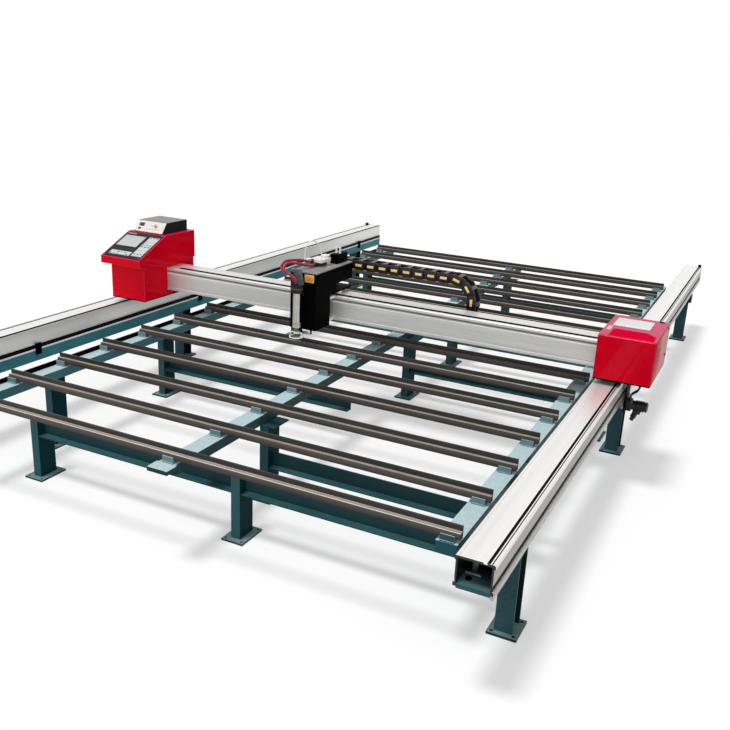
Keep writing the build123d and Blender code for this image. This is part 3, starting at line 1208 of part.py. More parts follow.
def row_ties():
    """Ties of each row of posts, from post to post or to the middle of a beam that has no post there."""
    ties = []
    for y, beams, runs in zip(POST_ROW_Y, POST_BEAMS, TIE_RUNS):
        for a, b in runs:
            start = POST_LINE_X[a] + (POST_X / 2 if a in beams else 0)
            end = POST_LINE_X[b] - (POST_X / 2 if b in beams else 0)
            ties.append(tie(start, end, y, TIE_BOTTOM))
    return ties


def front_ties():
    """Tie from the left short post past the right one to the right front leg."""
    left, right = FRONT_POST_X
    half = POST_X / 2
    leg = RAIL_MID - LEG_FLANGE / 2
    runs = ((left + half, right - half), (right + half, leg))
    return [tie(a, b, FRONT_POST_Y, FRONT_TIE_BOTTOM) for a, b in runs]


def table_beam(x):
    """Rectangular tube with a plate welded over each end."""
    half = TABLE_BEAM_WIDTH / 2
    low = TABLE_BEAM_BOTTOM
    wall = TABLE_BEAM_WALL
    beam = box_tube(x - half, x + half, TABLE_FRONT, TABLE_BACK, low, TABLE_TOP, wall, "Y")
    for y in (TABLE_FRONT, TABLE_BACK - wall):
        beam += block(x - half, x + half, y, y + wall, low, TABLE_TOP)
    return beam


def tongue(x):
    """Flat bar welded to the front end of a table beam."""
    half = TONGUE_WIDTH / 2
    front = TABLE_FRONT - TONGUE_LENGTH
    return block(x - half, x + half, front, TABLE_FRONT, TABLE_TOP - TONGUE_THICK, TABLE_TOP)


def stop_bar():
    """Flat bar on edge along the left table beam, at the slats' ends."""
    left = TABLE_BEAM_X[0] - TABLE_BEAM_WIDTH / 2
    return block(left, left + STOP_BAR_THICK, TABLE_FRONT, TABLE_BACK, TABLE_TOP, TABLE_TOP + STOP_BAR_HEIGHT)


def write_table():
    """Slatted table with its posts and ties."""
    left, middle, right = (table_beam(x) for x in TABLE_BEAM_X)
    write("table_beams", left, middle + tongue(TABLE_BEAM_X[1]), right)
    slat_ys = [SLAT_FIRST_Y + n * SLAT_PITCH for n in range(SLAT_COUNT)]
    write("slats", *[slat(y) for y in slat_ys])
    write("slat_saddles", *[saddle(x, y) for x in TABLE_BEAM_X for y in slat_ys])
    write("stop_bar", stop_bar())
    rows = [(POST_LINE_X[i], y) for y, beams in zip(POST_ROW_Y, POST_BEAMS) for i in beams]
    rows[0] = (POST_LINE_X[0], POST_ROW_Y[0] - FIRST_POST_ADVANCE)
    front = [(x, FRONT_POST_Y) for x in FRONT_POST_X]
    posts = [table_post(x, y) for x, y in rows] + [tube_post(x, y, FRONT_POST_TOP) for x, y in front]
    write("table_posts", *posts)
    foot = (POST_FOOT_X, POST_FOOT_Y, POST_FOOT_THICK, POST_HOLE_X, POST_HOLE_Y, POST_HOLE_RADIUS)
    write("post_feet", *[drilled_plate(x, y, *foot) for x, y in rows + front])
    write("cross_ties", *row_ties(), *front_ties(), *[table_link(y) for y in LINK_Y])


def write_gantry():
    """Beam, trucks, boxes and the long drive."""
    write("gantry_beam", beam())
    rollers = [("left", LEFT_ROLLER_X, LEFT_ROLLER_Y), ("right", RIGHT_ROLLER_X, RIGHT_ROLLER_Y)]
    left = truck(CASE_LEFT, CASE_RIGHT, CASE_FRONT, CONSOLE_BACK, BEAM_LEFT, LEFT_ROLLER_X, LEFT_ROLLER_Y)
    riser_x = BEAM_LEFT + BEAM_LENGTH - RISER_LENGTH
    right = truck(DRIVE_LEFT, DRIVE_RIGHT, DRIVE_FRONT, DRIVE_FRONT + DRIVE_DEPTH, riser_x,
                  RIGHT_ROLLER_X, RIGHT_ROLLER_Y)
    for plate, (side, x, ys) in zip((left, right), rollers):
        write(f"{side}_truck", plate, *[axle(x, y) for y in ys])
        for end, y in zip(("front", "rear"), ys):
            write(f"{side}_{end}_roller", roller(x, y))
    write("control_box", control_box())
    bezel, screen, keys = panel_parts()
    write("panel_bezel", bezel)
    write("lcd_screen", screen)
    write("panel_keys", *keys)
    case, panel, rocker, knob = thc_parts()
    write("thc_case", case)
    write("thc_panel", panel)
    write("thc_rocker", rocker)
    write("thc_knob", knob)
    write("drive_box", drive_box())
    write("drive_side_plate", side_plate())
    write("drive_bracket", drive_bracket())
    write("drive_motor", drive_motor())
    write("drive_pinion", drive_pinion())
    write("motor_cables", *motor_cables())
    write("beam_rack", *beam_rack())
    write("chain_tray", chain_tray())


def write_carriage():
    """Torch carriage, its lift, the torch and the drag chain."""
    upper, bend, lower = chain_runs()
    write("chain_upper", *upper)
    write("chain_bend", *bend)
    write("chain_lower", *lower)
    write("carriage_plate", carriage_plate())
    write("glide_shoes", *glide_shoes())
    write("torch_housing", torch_housing())
    lid = block(HOUSING_LEFT, HOUSING_RIGHT, HOUSING_FRONT, HOUSING_REAR, HOUSING_TOP, LID_TOP)
    write("housing_lid", lid)
    write("chain_bracket", chain_bracket(), hose_clamp())
    write("carriage_motors", carriage_motor(), lift_motor())
    write("carriage_pinion", carriage_pinion())
    write("lift_screw", lift_screw())
    write("lift_rods", *lift_rods())
    write("hose_manifold", manifold())
    write("torch_hoses", *hoses())
    solid, radii = cable(WIRE_ROUTE, WIRE_RADIUS)
    print("wire arc radii", [round(r) for r in radii])
    write("gas_wire", solid)
    write("torch_holder", torch_holder())
    write("torch_barrel", post(TORCH_X, TORCH_Y, TORCH_BARREL_BOTTOM, TORCH_BARREL_TOP, TORCH_RADIUS))
    write("torch_nozzle", torch_tip(), nozzle())
    write("torch_collar", post(TORCH_X, TORCH_Y, TORCH_BARREL_TOP, COLLAR_TOP, COLLAR_RADIUS))
    write("torch_head_plate", head_plate())


write_frame()
write_table()
write_gantry()
write_carriage()
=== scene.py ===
"""Looks of the gantry cutting machine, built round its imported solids.

Places are the drawing's millimetres, X measured from midway between the rails. at() and piece() turn
them into the frame's metres.
"""

import math

import bmesh
import bpy
from mathutils import Matrix, Vector

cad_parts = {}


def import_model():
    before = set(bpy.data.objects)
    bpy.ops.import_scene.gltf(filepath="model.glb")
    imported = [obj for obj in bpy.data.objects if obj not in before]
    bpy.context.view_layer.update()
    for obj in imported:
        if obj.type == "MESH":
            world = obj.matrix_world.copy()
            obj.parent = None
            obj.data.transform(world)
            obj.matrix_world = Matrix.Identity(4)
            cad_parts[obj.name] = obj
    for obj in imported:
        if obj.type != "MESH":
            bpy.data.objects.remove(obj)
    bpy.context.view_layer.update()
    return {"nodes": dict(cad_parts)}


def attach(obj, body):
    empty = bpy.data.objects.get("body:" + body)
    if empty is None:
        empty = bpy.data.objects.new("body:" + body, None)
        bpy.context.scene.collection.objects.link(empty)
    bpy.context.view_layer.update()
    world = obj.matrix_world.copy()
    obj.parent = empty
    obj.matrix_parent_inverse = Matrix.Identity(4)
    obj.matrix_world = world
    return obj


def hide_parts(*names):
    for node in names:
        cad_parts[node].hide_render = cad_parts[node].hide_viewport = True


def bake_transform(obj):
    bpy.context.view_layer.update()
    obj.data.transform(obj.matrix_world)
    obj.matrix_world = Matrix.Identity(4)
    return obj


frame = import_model()
NODES = frame["nodes"]

# Drawing units and the shift that centres the footprint
MM = 0.001
FOOTPRINT_SHIFT = -80

# Camera, fitted to the rails, slats and foot plates of the photograph
CAMERA_PLACE = (2.347, -5.529, 2.160)
CAMERA_AZIMUTH = 25.76
CAMERA_ELEVATION = 18.55
CAMERA_ROLL = 2.72
CAMERA_LENS = 42.89

# Light: an even sky, a broad lamp from above and a soft fill from the camera's side
SKY_LEVEL = 0.34
LAMP_LEVEL = 1.75
LAMP_SPREAD = 12
LAMP_FROM = (-0.17, -0.27, 1)
FILL_LEVEL = 1.3
FILL_SPREAD = 80
FILL_FROM = (0.5, -0.8, 0.45)
FLOOR_SIZE = 80
FLOOR_TONE = 0.6
FLOOR_GLOW = 0.40

# Hollow rails: their middle, and the bore's half width and top
RAIL_MID = 1660
RAIL_BORE = 64
RAIL_BORE_TOP = 590

# Legs of the rails: their places, half the gap between their flanges, and how far their painted shade reaches
# past the rear one
LEG_PLACES = (-2470, -335, 2570)
LEG_INSIDE = 42
LEG_SHADE = 10

# Where a finish changes, most of them the bounds of painted light and shade, as spans of the frame's own
# millimetres
RIGHT_RAIL = (1600, 1640)
RAIL_LIP = (581, 583)
LEFT_BEAM_END = (-900, -800)
RIGHT_BEAM = (1000, 1100)
FRONT_SADDLE = (-2700, -2600)
BASE_ENDS = (2860, 2965)
SLAT_RISE = (505, 532)
SLAT_RISE_END = (533.2, 534.2)
SLAT_EDGE = (529.5, 530.5)
SLAT_EDGE_END = (533.4, 534.2)
FRONT_SLAT = (-2650, -2600)
MANIFOLD_FOOT = (1031, 1033)

# Shader values that a finish may set
SHADER_VALUES = {"metal": "Metallic", "shine": "Specular IOR Level", "coat": "Coat Weight",
                 "coat_ior": "Coat IOR", "coat_blur": "Coat Roughness"}

# Cosines between which a face counts as looking along an axis
FACE_COSINES = {"X": (0.8, 0.95), "Y": (0.8, 0.95), "Z": (0.7, 0.95)}

# Cords: the routes of the solids, with their radii
HOSE_RADIUS = 8
HOSE_ROUTES = (
    ((-201, -1123, 936), (-201, -1123, 974), (-246, -1128, 1000), (-292, -1132, 1022),
     (-290, -1094, 1062), (-246, -1044, 1066), (-220, -990, 1060), (-208, -935, 1041), (-208, -890, 1041)),
    ((-179, -1133, 936), (-179, -1133, 974), (-224, -1140, 1000), (-268, -1144, 1020),
     (-266, -1104, 1056), (-222, -1052, 1050), (-194, -1000, 1034), (-186, -945, 1022), (-186, -890, 1022)),
)
WIRE_RADIUS = 3.5
WIRE_ROUTE = (
    (-240, -930, 1050), (-240, -930, 1085), (-240, -922, 1130), (-230, -895, 1162),
    (-216, -850, 1158), (-206, -805, 1120), (-202, -787, 1085), (-202, -787, 1050))
MOTOR_CABLE_RADIUS = 5
MOTOR_CABLE_SPREAD = 12
MOTOR_CABLE_FOOT = (1767, 461)
MOTOR_CABLE_DROP = 169
MOTOR_Y = -660
MOTOR_Z = 431

# Drag chain
CHAIN_PITCH = 84
CHAIN_WIDTH = 90
CHAIN_HEIGHT = 64
CHAIN_RADIUS = 140
CHAIN_START = -154
CHAIN_BEND_X = 602
CHAIN_CENTRE_Y = -543
CHAIN_AXIS_TOP = 982
CHAIN_BEND_Z = 842
CHAIN_AXIS_LOW = 702
CHAIN_UPPER_LINKS = 9
CHAIN_LOWER_LINKS = 7
CHAIN_BEND_LINKS = 5


def at(x, y, z):
    """A place on the drawing as a point of the frame, in metres."""
    return Vector((x + FOOTPRINT_SHIFT, y, z)) * MM


def show(obj):
    bpy.context.scene.collection.objects.link(obj)
    return obj


# Camera

def make_camera():
    azimuth, elevation, roll = (math.radians(a) for a in (CAMERA_AZIMUTH, CAMERA_ELEVATION, CAMERA_ROLL))
    forward = Vector((-math.sin(azimuth) * math.cos(elevation), math.cos(azimuth) * math.cos(elevation),
                      -math.sin(elevation)))
    level = Vector((math.cos(azimuth), math.sin(azimuth), 0))
    right = level * math.cos(roll) + level.cross(forward) * math.sin(roll)
    turn = Matrix((right, right.cross(forward), -forward)).transposed().to_4x4()
    data = bpy.data.cameras.new("camera")
    data.lens = CAMERA_LENS
    camera = show(bpy.data.objects.new("camera", data))
    camera.matrix_world = Matrix.Translation(CAMERA_PLACE) @ turn
    bpy.context.scene.camera = camera


# Materials: every surface varies with a fine and a broad noise

def rgb(red, green, blue):
    """A colour as it looks on a screen, 0 to 255, as the linear colour that shaders take."""
    shares = [c / 255 for c in (red, green, blue)]
    return tuple(s / 12.92 if s < 0.04 else ((s + 0.055) / 1.055) ** 2.4 for s in shares) + (1,)


def add_node(tree, kind, inputs, operation=None):
    """A shader node, each input linked to an output or set to a value."""
    node = tree.nodes.new("ShaderNode" + kind)
    if operation:
        node.operation = operation
    for key, value in inputs.items():
        if isinstance(value, bpy.types.NodeSocket):
            tree.links.new(value, node.inputs[key])
        else:
            node.inputs[key].default_value = value
    return node


def places(tree):
    return add_node(tree, "TexCoord", {}).outputs["Object"]


def normals(tree):
    return add_node(tree, "NewGeometry", {}).outputs["Normal"]


def noise(tree, scale, stretch, detail=6):
    """Noise over the object's own metres, stretched along its axes."""
    spread = add_node(tree, "Mapping", {"Vector": places(tree), "Scale": stretch}).outputs["Vector"]
    cloud = add_node(tree, "TexNoise", {"Vector": spread, "Scale": scale, "Detail": detail})
    return cloud.outputs["Fac"]


def ramp(tree, factor, tones):
    """A dark and a light tone blended along a factor."""
    node = add_node(tree, "ValToRGB", {"Fac": factor})
    for element, place, tone in zip(node.color_ramp.elements, (0.3, 0.7), tones):
        element.position = place
        element.color = rgb(*tone)
    return node.outputs["Color"]


def stepped(tree, factor, low, high, start=0.3, end=0.7):
    """A factor mapped from a range, the noise's middle one by default, to two values."""
    inputs = {"Value": factor, "From Min": start, "From Max": end, "To Min": low, "To Max": high}
    return add_node(tree, "MapRange", inputs).outputs["Result"]


def math_step(tree, operation, *values):
    return add_node(tree, "Math", dict(enumerate(values)), operation).outputs["Value"]


def product(tree, share, *others):
    for other in others:
        share = math_step(tree, "MULTIPLY", share, other)
    return share


def tinted(tree, colour, share, tint):
    """A colour that gives way to a tint by a share."""
    mix = tree.nodes.new("ShaderNodeMix")
    mix.data_type = "RGBA"
    tree.links.new(share, mix.inputs["Factor"])
    tree.links.new(colour, mix.inputs["A"])
    mix.inputs["B"].default_value = rgb(*tint)
    return mix.outputs["Result"]


def part_of(tree, source, axis):
    return add_node(tree, "SeparateXYZ", {"Vector": source}).outputs[axis]


def facing(tree, axis, way, share=1):
    """Share of the faces that look one way along an axis."""
    start, end = (way * cosine for cosine in FACE_COSINES[axis])
    return stepped(tree, part_of(tree, normals(tree), axis), 0, share, start, end)


def between(tree, axis, low, high, span):
    """A value that goes from low to high over a span of an axis."""
    start, end = (place * MM for place in span)
    return stepped(tree, part_of(tree, places(tree), axis), low, high, start, end)


def past(tree, axis, span, full=1):
    return between(tree, axis, 0, full, span)


def before(tree, axis, span):
    return between(tree, axis, 1, 0, span)


def facing_up(tree, fine, ceiling):
    """Share of a tint on faces that look up, in places lower than a ceiling in millimetres: mostly dust and
    painted light.
    """
    low = before(tree, "Z", (ceiling - 1, ceiling))
    return product(tree, facing(tree, "Z", 1), low, stepped(tree, fine, 0.8, 1))


def along_edges(tree, fine, radius):
    """Share of the edge tint within a radius of sharp edges, in millimetres; mostly wear and painted
    highlights.
    """
    rounded = add_node(tree, "Bevel", {"Radius": radius * MM})
    rounded.samples = 4
    both = {0: rounded.outputs["Normal"], 1: normals(tree)}
    likeness = add_node(tree, "VectorMath", both, "DOT_PRODUCT").outputs["Value"]
    edge = stepped(tree, likeness, 1, 0, 0.8, 0.985)
    return product(tree, edge, stepped(tree, fine, 0.6, 1))


def painted_rail_shade(tree, colour):
    """Painted shade: a dark bore and dark saw-cut ends on the hollow rails, and a duller outer side on the
    right one.
    """
    across = part_of(tree, places(tree), "X")
    for middle in (FOOTPRINT_SHIFT, RAIL_MID):
        across = math_step(tree, "ABSOLUTE", math_step(tree, "SUBTRACT", across, middle * MM))
    beside = stepped(tree, across, 1, 0, RAIL_BORE * MM, (RAIL_BORE + 2) * MM)
    below = before(tree, "Z", (RAIL_BORE_TOP, RAIL_BORE_TOP + 2))
    colour = tinted(tree, colour, product(tree, beside, below), (14, 14, 14))
    for way in (-1, 1):
        colour = tinted(tree, colour, facing(tree, "Y", way), (44, 43, 41))
    outer = product(tree, facing(tree, "X", 1), past(tree, "X", RIGHT_RAIL), before(tree, "Z", RAIL_LIP))
    return tinted(tree, colour, outer, (160, 157, 150))


# Painted shade on faces that look to the front.
def painted_shade_fronts(tree, colour):
    return tinted(tree, colour, facing(tree, "Y", -1), (30, 50, 54))


def painted_shade_beams(tree, colour):
    """Table beams: painted shade on their ends, and on the right sides of all but the left beam."""
    sides = product(tree, facing(tree, "X", 1), past(tree, "X", LEFT_BEAM_END))
    colour = tinted(tree, painted_shade_fronts(tree, colour), sides, (36, 66, 70))
    right_end = product(tree, facing(tree, "Y", -1), past(tree, "X", RIGHT_BEAM))
    return tinted(tree, colour, right_end, (30, 76, 84))


def painted_shade_corner(tree, colour):
    """Saddles: painted shade on the front of the one in the right front corner."""
    corner = product(tree, past(tree, "X", RIGHT_BEAM), before(tree, "Y", FRONT_SADDLE))
    return tinted(tree, colour, product(tree, corner, facing(tree, "Y", -1, 0.9)), (34, 66, 72))


def painted_shade_depth(tree, colour):
    """Base plates: painted shade on their tops inside the rails, away from the ends."""
    front = past(tree, "Y", (-BASE_ENDS[1], -BASE_ENDS[0]))
    share = product(tree, front, before(tree, "Y", BASE_ENDS), facing(tree, "Z", 1))
    return tinted(tree, colour, share, (6, 10, 11))


def painted_light_and_shade_posts(tree, colour):
    """Posts: painted light on their fronts and painted shade on their right sides."""
    colour = tinted(tree, colour, facing(tree, "Y", -1, 0.85), (54, 90, 96))
    return tinted(tree, colour, facing(tree, "X", 1, 0.85), (8, 46, 52))


def painted_shade_webs(tree, colour):
    """Cross ties: painted shade on their fronts above their lower legs."""
    return tinted(tree, colour, facing(tree, "Y", -1, 0.85), (22, 52, 56))


def painted_shade_legs(tree, colour):
    """Legs: painted shade on the faces between their flanges."""
    for y in LEG_PLACES:
        front = y - LEG_INSIDE
        back = y + LEG_INSIDE + LEG_SHADE
        inside = product(tree, past(tree, "Y", (front - 1, front + 1)),
                         before(tree, "Y", (back - 1, back + 1)))
        colour = tinted(tree, colour, inside, (16, 32, 36))
    return colour


def painted_light_slats(tree, colour):
    """Slat fronts: painted light just under the ledge, and a painted highlight along the front slat's ledge
    edge.
    """
    fronts = facing(tree, "Y", -1)
    rise = product(tree, past(tree, "Z", SLAT_RISE, 0.5), before(tree, "Z", SLAT_RISE_END))
    colour = tinted(tree, colour, product(tree, fronts, rise), (112, 103, 97))
    edge = product(tree, past(tree, "Z", SLAT_EDGE), before(tree, "Z", SLAT_EDGE_END),
                   before(tree, "Y", FRONT_SLAT))
    return tinted(tree, colour, product(tree, fronts, edge), (240, 233, 228))


def dark_foot(tree, colour):
    return tinted(tree, colour, before(tree, "Z", MANIFOLD_FOOT), (26, 20, 20))


def add_grain(tree, shader, fine, height):
    """Small bumps that follow the fine noise, their height in millimetres."""
    relief = add_node(tree, "Bump", {"Strength": 1, "Distance": height * MM, "Height": fine})
    tree.links.new(relief.outputs["Normal"], shader.inputs["Normal"])


def surface(name, tones, roughness, scale=30, stretch=(1, 1, 1), bump=0, stain=None, top=None,
            worn=None, extra=None, **values):
    """A finish from its darkest and lightest tone.

    stain is a (colour, share, scale) of patches, top a (colour, ceiling) of faces that look up, mostly
    dust and painted light, the edge tint a (colour, radius) of edges, mostly wear and painted highlights,
    and extra a function that changes the colour last, mostly painted light and shade.
    """
    material = bpy.data.materials.new(name)
    material.use_nodes = True
    tree = material.node_tree
    shader = tree.nodes["Principled BSDF"]
    for key, value in values.items():
        shader.inputs[SHADER_VALUES[key]].default_value = value
    fine = noise(tree, scale, stretch)
    broad = noise(tree, scale * 0.06, stretch, 3)
    both = math_step(tree, "MULTIPLY_ADD", fine, 0.5, stepped(tree, broad, 0.1, 0.4))
    colour = ramp(tree, both, tones)
    if stain:
        tint, share, size = stain
        patches = stepped(tree, noise(tree, size, stretch, 8), 0, 1, 1 - share, 1.08 - share)
        colour = tinted(tree, colour, patches, tint)
    if top:
        colour = tinted(tree, colour, facing_up(tree, fine, top[1]), top[0])
    if worn:
        colour = tinted(tree, colour, along_edges(tree, fine, worn[1]), worn[0])
    if extra:
        colour = extra(tree, colour)
    tree.links.new(colour, shader.inputs["Base Color"])
    tree.links.new(stepped(tree, fine, *roughness), shader.inputs["Roughness"])
    if bump:
        add_grain(tree, shader, fine, bump)
    return material


ALONG_X = (0.012, 1, 1)
ALONG_Y = (1, 0.012, 1)
ALONG_Z = (1, 1, 0.05)
NO_CEILING = 2000
EXTRUDED = (0.32, 0.48)
RAIL_TONES = ((224, 223, 220), (242, 241, 239))
TEAL_GLOSS = (0.42, 0.56)
TEAL_TONES = ((38, 74, 79), (56, 96, 101))
TEAL_STAIN = ((33, 62, 67), 0.36, 5)
# Teal edges: wear and painted highlight; teal tops: dust and painted light.
TEAL_WEAR_AND_HIGHLIGHT = ((92, 128, 134), 1.5)
TEAL_PALE_WEAR_AND_HIGHLIGHT = ((118, 156, 162), 1.5)
TEAL_DUST_AND_LIGHT = ((192, 214, 219), NO_CEILING)
# Red edges: a painted highlight.
RED_EDGE_HIGHLIGHT = ((238, 130, 148), 2)


def teal(place, tones, shine, stain=TEAL_STAIN, **values):
    """Teal paint, with one gloss and grain on every piece of the frame and table; the pieces' lighter and
    darker tones are painted light and shade.
    """
    return surface("teal_paint_" + place, tones, TEAL_GLOSS, 60, bump=0.05, stain=stain,
                   shine=shine, **values)


def red(name, tones, coat, coat_ior, **values):
    """Red paint under a clear coat."""
    return surface(name, tones, (0.3, 0.38), 45, bump=0.03, shine=0, coat=coat,
                   coat_ior=coat_ior, coat_blur=0.08, **values)


RAIL = surface("rail_aluminium", RAIL_TONES, EXTRUDED, 260, ALONG_Y, 0.02, extra=painted_rail_shade, metal=0.5)
# Aluminium that fills the deck slots, and the left rail's inner side slot as a painted highlight.
SLOT_FILL = surface("slot_fill", RAIL_TONES, EXTRUDED, 260, ALONG_Y, metal=0.5)
BAND_BLACK = surface("deck_band", ((16, 14, 13), (30, 27, 26)), (0.5, 0.65), 260, ALONG_Y, shine=0)
# Lines of painted shade and painted highlight under the beam's front lip.
BEAM_SHADE_LINE = surface("beam_painted_shade", ((112, 111, 109), (132, 131, 128)), (0.45, 0.6), 260, ALONG_X)
BEAM_HIGHLIGHT_LINE = surface("beam_painted_highlight", ((240, 240, 238), (250, 250, 248)), (0.4, 0.5), 260, ALONG_X)
GROOVE = surface("deck_groove", ((176, 174, 172), (198, 196, 194)), (0.4, 0.55), 260, ALONG_Y)
BEAM = surface("beam_aluminium", ((206, 205, 202), (227, 226, 223)), EXTRUDED, 260, ALONG_X, 0.02, metal=0.5)
# Black strips of painted shade in the rail side slots and over the left channel.
SHADE_STRIP = surface("painted_shade_strip", ((6, 5, 5), (15, 13, 12)), (0.5, 0.7), 120, bump=0.1, shine=0.05)
# Copies of one teal paint: darker tones low in the frame and paler ones on the table, painted light and
# shade.
TEAL_LEG = teal("leg", ((31, 62, 67), (47, 82, 88)), 0.1, worn=TEAL_WEAR_AND_HIGHLIGHT, extra=painted_shade_legs)
TEAL_POST = teal("post", ((26, 55, 60), (42, 76, 81)), 0.02, worn=((84, 118, 124), 1.5), extra=painted_light_and_shade_posts)
TEAL_TIE = teal("tie", TEAL_TONES, 0.1, worn=TEAL_WEAR_AND_HIGHLIGHT, extra=painted_shade_webs)
# Feet: the darkest copy, painted shade, with paler tops of dust and painted light, and a painted highlight
# along the edges.
TEAL_FOOT = teal("foot", ((14, 36, 40), (26, 52, 56)), 0.12, None, top=((114, 142, 146), NO_CEILING),
                 worn=((150, 174, 178), 0.8))
# Base plates: paler tops, painted light, with painted shade inside the rails.
TEAL_BASE = teal("base", TEAL_TONES, 0.05, top=((76, 108, 113), NO_CEILING), extra=painted_shade_depth)
# Side channels: pale tops of dust and painted light, and painted shade on their fronts.
TEAL_DUSTY_LIT = teal("dusty_lit", ((46, 110, 118), (64, 138, 148)), 0.12, top=TEAL_DUST_AND_LIGHT, worn=TEAL_PALE_WEAR_AND_HIGHLIGHT,
                  extra=painted_shade_fronts)
# Table beams: pale tops of dust and painted light, edges of wear and painted highlight, and painted shade on
# ends and right sides.
TEAL_BEAM = teal("beam", ((54, 98, 106), (74, 122, 132)), 0.12, top=TEAL_DUST_AND_LIGHT, worn=TEAL_PALE_WEAR_AND_HIGHLIGHT,
                 extra=painted_shade_beams)
# Saddles: a paler copy with pale tops of dust and painted light, and painted shade on the right front one.
TEAL_SADDLE = teal("saddle", ((90, 120, 125), (116, 146, 151)), 0.12, None,
                   top=((176, 200, 205), NO_CEILING), extra=painted_shade_corner)
# A pale strip of painted highlight on the channel's top edge.
CHANNEL_HIGHLIGHT = surface("channel_painted_highlight", ((224, 240, 244), (240, 250, 252)), TEAL_GLOSS, 60)
# Slats: a painted highlight on the ledge tops below the fin, and painted light on their fronts; the stain is
# their own rust.
SLAT = surface("slat_steel", ((34, 33, 30), (64, 61, 56)), (0.4, 0.6), 90, (0.1, 1, 1), 0.12,
               stain=((74, 62, 52), 0.28, 9), top=((182, 170, 163), 545), extra=painted_light_slats,
               metal=0.25, shine=0.3)
STEEL = surface("machined_steel", ((150, 150, 148), (186, 185, 182)), (0.25, 0.42), 200, metal=0.9)
# Red paint on the drive box: pinker tops, a painted reflection, and a painted highlight along the edges.
RED = red("red_paint", ((190, 0, 24), (208, 4, 36)), 1, 1.16, top=((196, 0, 80), NO_CEILING), worn=RED_EDGE_HIGHLIGHT)
# A lighter copy of the red paint for the console, painted light, with the same painted reflection and
# highlight.
RED_CONSOLE = red("red_paint_console", ((212, 0, 24), (231, 3, 37)), 0.7, 1.16,
                  top=((214, 8, 76), NO_CEILING), worn=RED_EDGE_HIGHLIGHT)
# A darker copy with less coat and dark edges for the drive box's side plate, set to the light on that side:
# painted shade.
RED_SIDE = red("red_paint_side", ((176, 0, 22), (194, 4, 34)), 0.47, 1.2, worn=((60, 4, 12), 3))
FILM = surface("red_film", ((210, 2, 44), (226, 8, 58)), (0.4, 0.5), 45, shine=0)
PINK = surface("bare_pink", ((226, 160, 168), (244, 190, 196)), (0.4, 0.5), 90)
BLACK = surface("black_paint", ((2, 2, 2), (6, 6, 6)), (0.45, 0.6), 400, bump=0.06, shine=0.015)
# Black paint that is paler on faces that look up.
BLACK_PALE_TOP = surface("black_paint_pale_top", ((3, 3, 3), (9, 9, 9)), (0.45, 0.6), 400, bump=0.06,
                      top=((146, 145, 143), NO_CEILING), shine=0.12)
PLASTIC = surface("black_plastic", ((12, 11, 11), (26, 24, 24)), (0.4, 0.55), 300, bump=0.05, shine=0.25)
MOTOR = surface("motor_black", ((12, 12, 13), (28, 27, 28)), (0.32, 0.5), 240, bump=0.08, shine=0.3)
BEZEL = surface("panel_bezel", ((34, 36, 36), (50, 52, 52)), (0.35, 0.5), 220, bump=0.02,
                worn=((10, 10, 10), 4), shine=0.06)
SCREEN = surface("screen", ((178, 184, 178), (206, 210, 204)), (0.2, 0.3), 6, shine=0.1,
                 coat=1, coat_ior=1.2, coat_blur=0.03)
KEYS = surface("keys", ((202, 207, 206), (224, 228, 226)), (0.4, 0.55), 160, bump=0.03)
MARKS = surface("key_marks", ((52, 66, 72), (84, 98, 104)), (0.5, 0.6), 160)
WHITE_PANEL = surface("white_panel", ((218, 211, 210), (232, 226, 224)), (0.35, 0.5), 80, bump=0.02)
ROCKER = surface("rocker", ((108, 2, 22), (142, 10, 34)), (0.2, 0.3), 60, shine=0.2, coat=0.6, coat_ior=1.3)
AMBER = surface("knob_amber", ((178, 122, 46), (222, 172, 92)), (0.25, 0.4), 150, coat=0.5)
LENS = surface("lamp_lens", ((206, 214, 212), (232, 238, 236)), (0.1, 0.2), 60, coat=1)
WHITE_PLASTIC = surface("white_plastic", ((222, 222, 218), (242, 242, 239)), (0.3, 0.45), 120)
MANIFOLD = surface("manifold", ((222, 222, 218), (242, 242, 239)), (0.3, 0.45), 120, extra=dark_foot)
SHEETS = surface("key_sheets", ((172, 184, 188), (194, 204, 207)), (0.4, 0.55), 160)
RIM = surface("screen_rim", ((20, 21, 21), (32, 33, 33)), (0.35, 0.5), 220, shine=0.2)
GREY_PLATE = surface("grey_plate", ((112, 116, 115), (138, 141, 140)), (0.4, 0.55), 160)
BAND = surface("collar_band", ((54, 52, 50), (80, 77, 74)), (0.3, 0.45), 160, shine=0.3)
NYLON = surface("roller_nylon", ((22, 22, 22), (42, 40, 40)), (0.4, 0.55), 200, bump=0.05)
HOSE = surface("hose_red", ((126, 8, 32), (168, 24, 54)), (0.3, 0.42), 160, bump=0.1,
               shine=0.3, coat=0.4, coat_ior=1.35)
CABLE = surface("cable_black", ((12, 12, 12), (26, 25, 25)), (0.4, 0.55), 300, bump=0.08, shine=0.3)
LID = surface("grey_lid", ((126, 124, 120), (152, 149, 145)), (0.4, 0.55), 220, bump=0.04, shine=0.2)
TORCH = surface("torch_metal", ((208, 204, 198), (238, 235, 230)), (0.24, 0.4), 220, ALONG_Z, metal=0.7)
BRASS = surface("nozzle_brass", ((98, 86, 70), (152, 138, 118)), (0.28, 0.45), 160, metal=0.8)
